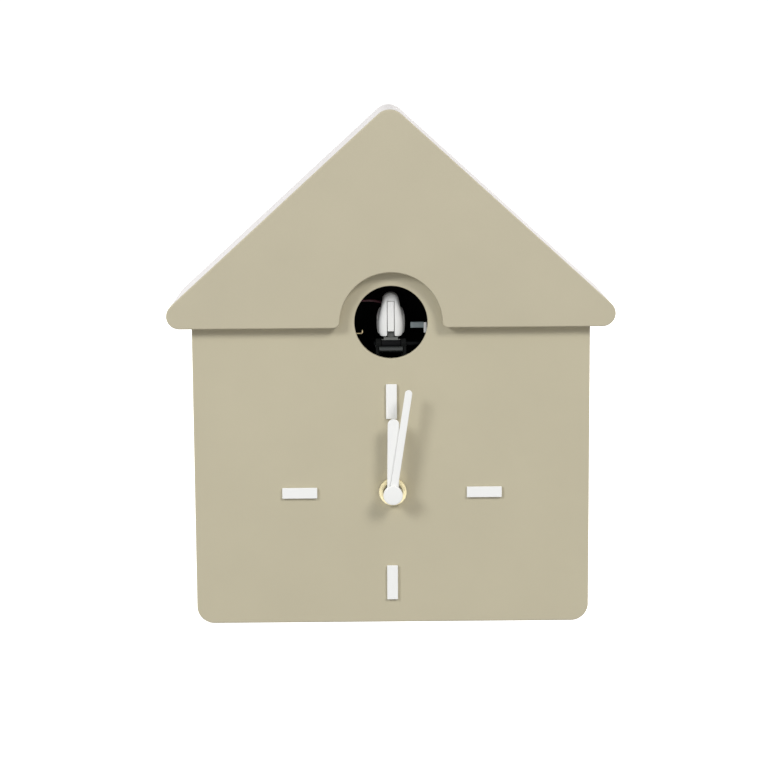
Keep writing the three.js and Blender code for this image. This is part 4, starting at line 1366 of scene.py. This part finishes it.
@dataclass
class BirdBox:
    """The black box behind the window, with its bearings, the stop bar and what shows beside the bird."""

    cap_radius: float = 1.65 * MM
    cap_drop: float = 0.9 * MM
    cap_inner: float = 5.05 * MM
    cap_outer: float = 7.6 * MM
    cap_rim: float = 0.3 * MM
    cheek_thick: float = 2.4 * MM
    guide_reach: tuple[float, float] = (9.8 * MM, 16.4 * MM)
    guide_height: tuple[float, float] = (147.1 * MM, 150.0 * MM)
    tab_reach: tuple[float, float] = (16.4 * MM, 17.9 * MM)
    tab_height: tuple[float, float] = (144.7 * MM, 149.9 * MM)
    guide_depth: float = 12 * MM
    guide_thick: float = 1.4 * MM
    guide_corner: float = 0.3 * MM
    tab_step: float = 0.8 * MM
    hook_height: float = 144.5 * MM
    hook_rise: float = 1.5 * MM
    hook_end: float = -14.2 * MM
    hook_wire: float = 0.42 * MM
    hook_bend: float = 0.8 * MM

    def bearing_cap(self, side: int, pivot: Vector) -> None:
        """Builds a cap over one bearing: a short round-topped block across X.

        Args:
            side: -1 for the left and 1 for the right.
            pivot: The middle of the axle.
        """
        r = self.cap_radius
        middle = pivot.z - self.cap_drop
        crown = arc((pivot.y, middle), r, 0, math.pi, 20)
        foot = np.array([[pivot.y - r, middle - 0.6 * r], [pivot.y + r, middle - 0.6 * r]])
        loop = np.concatenate([crown, foot])
        block = Plate(loop, (), self.cap_inner, self.cap_outer, self.cap_rim, 3).skin()
        block.points = [np.stack([side * p[:, 1], p[:, 0], p[:, 2]], 1) for p in block.points]
        name = "left" if side < 0 else "right"
        even_normals(block.piece(f"bearing_cap_{name}", DARK_GREY, "root"))

    def guide(self, wall: Box) -> None:
        """Builds the guide on the right: a flat arm that ends in an upright white tab, with the arm
        coloured blue-grey as painted shade.

        Args:
            wall: The wall panel's box, whose front the depth is counted from.
        """
        depth = wall.low.y + self.guide_depth
        # The arm's blue-grey is painted shade; the tab keeps the white.
        parts = (("guide_arm", self.guide_reach, self.guide_height, GUIDE_ARM_PAINTED_SHADE, depth),
                 ("guide_tab", self.tab_reach, self.tab_height, BIRD_WHITE, depth - self.tab_step))
        for name, x, z, finish, front in parts:
            bar = flat_bar(x, z, (front, front + self.guide_thick), self.guide_corner)
            even_normals(bar.piece(name, finish, "root"))

    def hook(self, wall: Box, cheek: float) -> None:
        """Builds the brass spring end on the left: a wire from the cheek that turns up at its tip.

        Args:
            wall: The wall panel's box.
            cheek: The x of the box's left inner face.
        """
        depth = wall.low.y + self.guide_depth
        bend = self.hook_bend
        straight = np.linspace(cheek, self.hook_end - bend, 12)
        run = np.stack([straight, np.full(12, self.hook_height)], 1)
        corner = arc((self.hook_end - bend, self.hook_height + bend), bend, -math.pi / 2, 0, 8)[1:]
        rise = np.linspace(self.hook_height + bend, self.hook_height + self.hook_rise, 6)[1:]
        tip = np.stack([np.full(5, self.hook_end), rise], 1)
        path = np.insert(np.concatenate([run, corner, tip]), 1, depth, axis=1)
        tube(path, self.hook_wire).piece("spring_hook", SPRING_BRASS, "root")

    def build(self) -> None:
        """Builds the bearing caps, the guide and the spring hook."""
        pivot = Box.of("lever_axle").centre.copy()
        for side in (-1, 1):
            self.bearing_cap(side, pivot)
        wall = Box.of("front_wall_panel")
        self.guide(wall)
        self.hook(wall, Box.of("cuckoo_frame").low.x + self.cheek_thick)

    def dress(self) -> None:
        """Finishes the box, the stop bar, the gears and the motor."""
        softened("cuckoo_frame", MATT_BLACK, EDGE)
        # The stop bar's near-black colour is painted shade.
        softened("cross_bar", STOP_BAR_PAINTED_SHADE, FINE_EDGE)
        dressed("compound_gear", ACETAL)
        dressed("motor_pinion", BRASS)
        softened("drive_motor", STEEL, EDGE)


# ---- The works ----


@dataclass
class TimeMovement:
    """The quartz movement behind the dial: its case, wheels, coil and circuit."""

    wheels: tuple[str, ...] = ("hour_wheel", "reversing_wheel", "centre_wheel", "third_wheel",
                               "seconds_wheel", "intermediate_wheel")
    board_thickness: float = 1 * MM

    def dress(self) -> None:
        """Finishes every part of the movement."""
        for case in ("movement_front_case", "movement_rear_case"):
            softened(case, BLACK, EDGE)
        softened("setting_knob", BLACK, SMALL_EDGE)
        for wheel in self.wheels:
            dressed(wheel, ACETAL)
        dressed("centre_arbor", BRASS)
        dressed("rotor", STEEL)
        dressed("stator", PLATE_STEEL)
        dressed("coil", COPPER)
        face = Box.of("circuit_board").high.y - self.board_thickness
        dressed("circuit_board", SolderMask("clock_circuit", "circuit_board", "#2f6a3c", 0.42, face, False))


@dataclass
class BackPanel:
    """The back of the house: cover, battery door, screws, switch and call button."""

    cover_edge: float = 0.35 * MM
    button_edge: float = 0.15 * MM

    def dress(self) -> None:
        """Finishes the pieces that show at the back."""
        softened("back_cover", CASING, self.cover_edge)
        softened("battery_door", CASING, EDGE)
        for number in range(1, 5):
            softened(f"back_screw_{number}", STEEL, FINE_EDGE)
        softened("switch_slider", BLACK, FINE_EDGE)
        softened("call_button", BLACK, self.button_edge)


@dataclass
class Electrics:
    """Sound board, speaker, battery bay and leads."""

    board_thickness: float = 1.6 * MM

    def dress(self) -> None:
        """Finishes the sound board, the speaker, the batteries with their contacts, and the leads."""
        face = Box.of("sound_board").low.y + self.board_thickness
        dressed("sound_board", SolderMask("sound_circuit", "circuit_board", "#2b6238", 0.42, face, True))
        softened("speaker", BLACK, EDGE)
        softened("battery_tray", BLACK, EDGE)
        for number in range(1, 4):
            box = Box.of(f"battery_{number}")
            sleeve = CellSleeve(f"cell_sleeve_{number}", "battery_cell", "#34506b", 0.3,
                                box.low.x, box.high.x)
            softened(f"battery_{number}", sleeve, EDGE)
        for contact in ("contact_minus", "contact_plus", "contact_bridge_left", "contact_bridge_right"):
            dressed(contact, PLATE_STEEL)
        # The red lead's dim colour is red insulation darkened with painted shade.
        softened("red_lead", RED_LEAD_PAINTED_SHADE, 0)
        softened("black_lead", BLACK_LEAD, 0)


# ---- The studio ----


@dataclass(frozen=True)
class Lamp:
    """A soft square lamp aimed at the clock."""

    name: str
    place: tuple[float, float, float]
    power: float
    size: float
    colour: tuple[float, float, float] = (1.0, 1.0, 1.0)
    glints: bool = True

    def hang(self, aim: Vector) -> None:
        """Adds the lamp to the scene.

        Args:
            aim: The point that it faces.
        """
        light = bpy.data.lights.new(self.name, "AREA")
        light.shape = "SQUARE"
        light.size = self.size
        light.energy = self.power
        light.color = self.colour
        lamp = bpy.data.objects.new(self.name, light)
        lamp.location = aim + Vector(self.place)
        lamp.visible_glossy = self.glints
        lamp.rotation_mode = "QUATERNION"
        lamp.rotation_quaternion = (-Vector(self.place)).to_track_quat("-Z", "Y")
        bpy.context.scene.collection.objects.link(lamp)


@dataclass
class Studio:
    """A pale floor, two soft lamps above the dial, one at each side, one behind, and the camera."""

    floor_radius: float = 9.0
    floor_rings: int = 12
    floor_sides: int = 64
    floor_drop: float = 0.2 * MM
    sky: float = 0.4
    seen_sky: float = 1.1
    floor_glow: float = 0.8
    lamps: tuple[Lamp, ...] = (
        Lamp("left_lamp", (-1.9, -2.1, 1.5), 43.5, 0.85, (0.965, 0.99, 1.0)),
        Lamp("right_lamp", (1.38, -2.1, 1.83), 40.0, 0.85, (1.0, 0.985, 0.955)),
        Lamp("left_side_lamp", (-1.6, 0.35, 0.1), 13.5, 0.7, glints=False),
        Lamp("right_side_lamp", (1.6, 0.35, 0.1), 13.5, 0.7, glints=False),
        Lamp("back_lamp", (0.3, 1.9, 1.0), 9.0, 0.8, glints=False),
    )
    camera_place: tuple[float, float, float] = (-0.01032, -1.1241, 0.2976)
    camera_aim: tuple[float, float, float] = (-0.00362, -0.0297, 0.1209)
    roll: float = math.radians(-0.40)
    lens: float = 105.3

    def lay_floor(self) -> None:
        """Lays a round floor, a grid of rings whose radius grows with the square of their number."""
        rings, sides = self.floor_rings, self.floor_sides
        turn = np.arange(sides) * 2 * math.pi / sides
        radius = self.floor_radius * np.linspace(0, 1, rings)[:, None] ** 2
        height = np.full((rings, sides), -self.floor_drop)
        grid = np.stack([radius * np.cos(turn), radius * np.sin(turn), height], -1)
        mesh = bpy.data.meshes.new("floor")
        mesh.from_pydata(grid.reshape(-1, 3).tolist(), [], woven(rings, sides, 0, False, True).tolist())
        mesh.validate()
        graph = Graph("pale_floor")
        graph.shade({
            "Base Color": graph.mottled((0.9, 0.9, 0.895, 1), 0.01, 0.3), "Roughness": 0.9,
            "Specular IOR Level": 0.0, "Emission Color": (1, 1, 1, 1),
            "Emission Strength": self.floor_glow})
        mesh.materials.append(graph.material)
        floor = bpy.data.objects.new("floor", mesh)
        floor.visible_diffuse = False
        bpy.context.scene.collection.objects.link(floor)

    def light_sky(self) -> None:
        """Sets an even sky, which is plain white where it shows directly."""
        world = bpy.data.worlds.new("studio_sky")
        bpy.context.scene.world = world
        world.use_nodes = True
        tree = world.node_tree
        tree.nodes.clear()
        seen, soft = (tree.nodes.new("ShaderNodeBackground") for _ in range(2))
        for node, strength in ((seen, self.seen_sky), (soft, self.sky)):
            node.inputs["Color"].default_value = (1, 1, 1, 1)
            node.inputs["Strength"].default_value = strength
        path = tree.nodes.new("ShaderNodeLightPath")
        mix = tree.nodes.new("ShaderNodeMixShader")
        out = tree.nodes.new("ShaderNodeOutputWorld")
        chosen = (path.outputs["Is Camera Ray"], soft.outputs[0], seen.outputs[0])
        for number, socket in enumerate(chosen):
            tree.links.new(socket, mix.inputs[number])
        tree.links.new(mix.outputs[0], out.inputs["Surface"])

    def set_camera(self) -> None:
        """Sets the camera a little above and left of the dial, rolled slightly."""
        data = bpy.data.cameras.new("camera")
        data.lens = self.lens
        data.sensor_width = 36
        data.clip_start = 0.05
        data.clip_end = 50
        camera = bpy.data.objects.new("camera", data)
        place, aim = Vector(self.camera_place), Vector(self.camera_aim)
        camera.location = place
        camera.rotation_mode = "QUATERNION"
        level = (aim - place).to_track_quat("-Z", "Y")
        camera.rotation_quaternion = level @ Quaternion((0, 0, 1), self.roll)
        bpy.context.scene.collection.objects.link(camera)
        bpy.context.scene.camera = camera

    def build(self) -> None:
        """Lays the floor, hangs the lamps and sets the camera."""
        self.lay_floor()
        aim = (CAD_BOX[0] + CAD_BOX[1]) / 2
        for lamp in self.lamps:
            lamp.hang(aim)
        self.light_sky()
        self.set_camera()
        bpy.context.scene.view_settings.view_transform = "Standard"


def main() -> None:
    """Builds every sub-assembly in order."""
    logging.basicConfig(level=logging.INFO, format="%(name)s: %(message)s")
    studio = Studio()
    studio.build()
    for assembly in (House(), Dial(), Bird(), BirdBox()):
        log.info("building %s", type(assembly).__name__)
        assembly.build()
        assembly.dress()
    for assembly in (TimeMovement(), BackPanel(), Electrics()):
        log.info("dressing %s", type(assembly).__name__)
        assembly.dress()


if __name__ == "__main__":
    main()
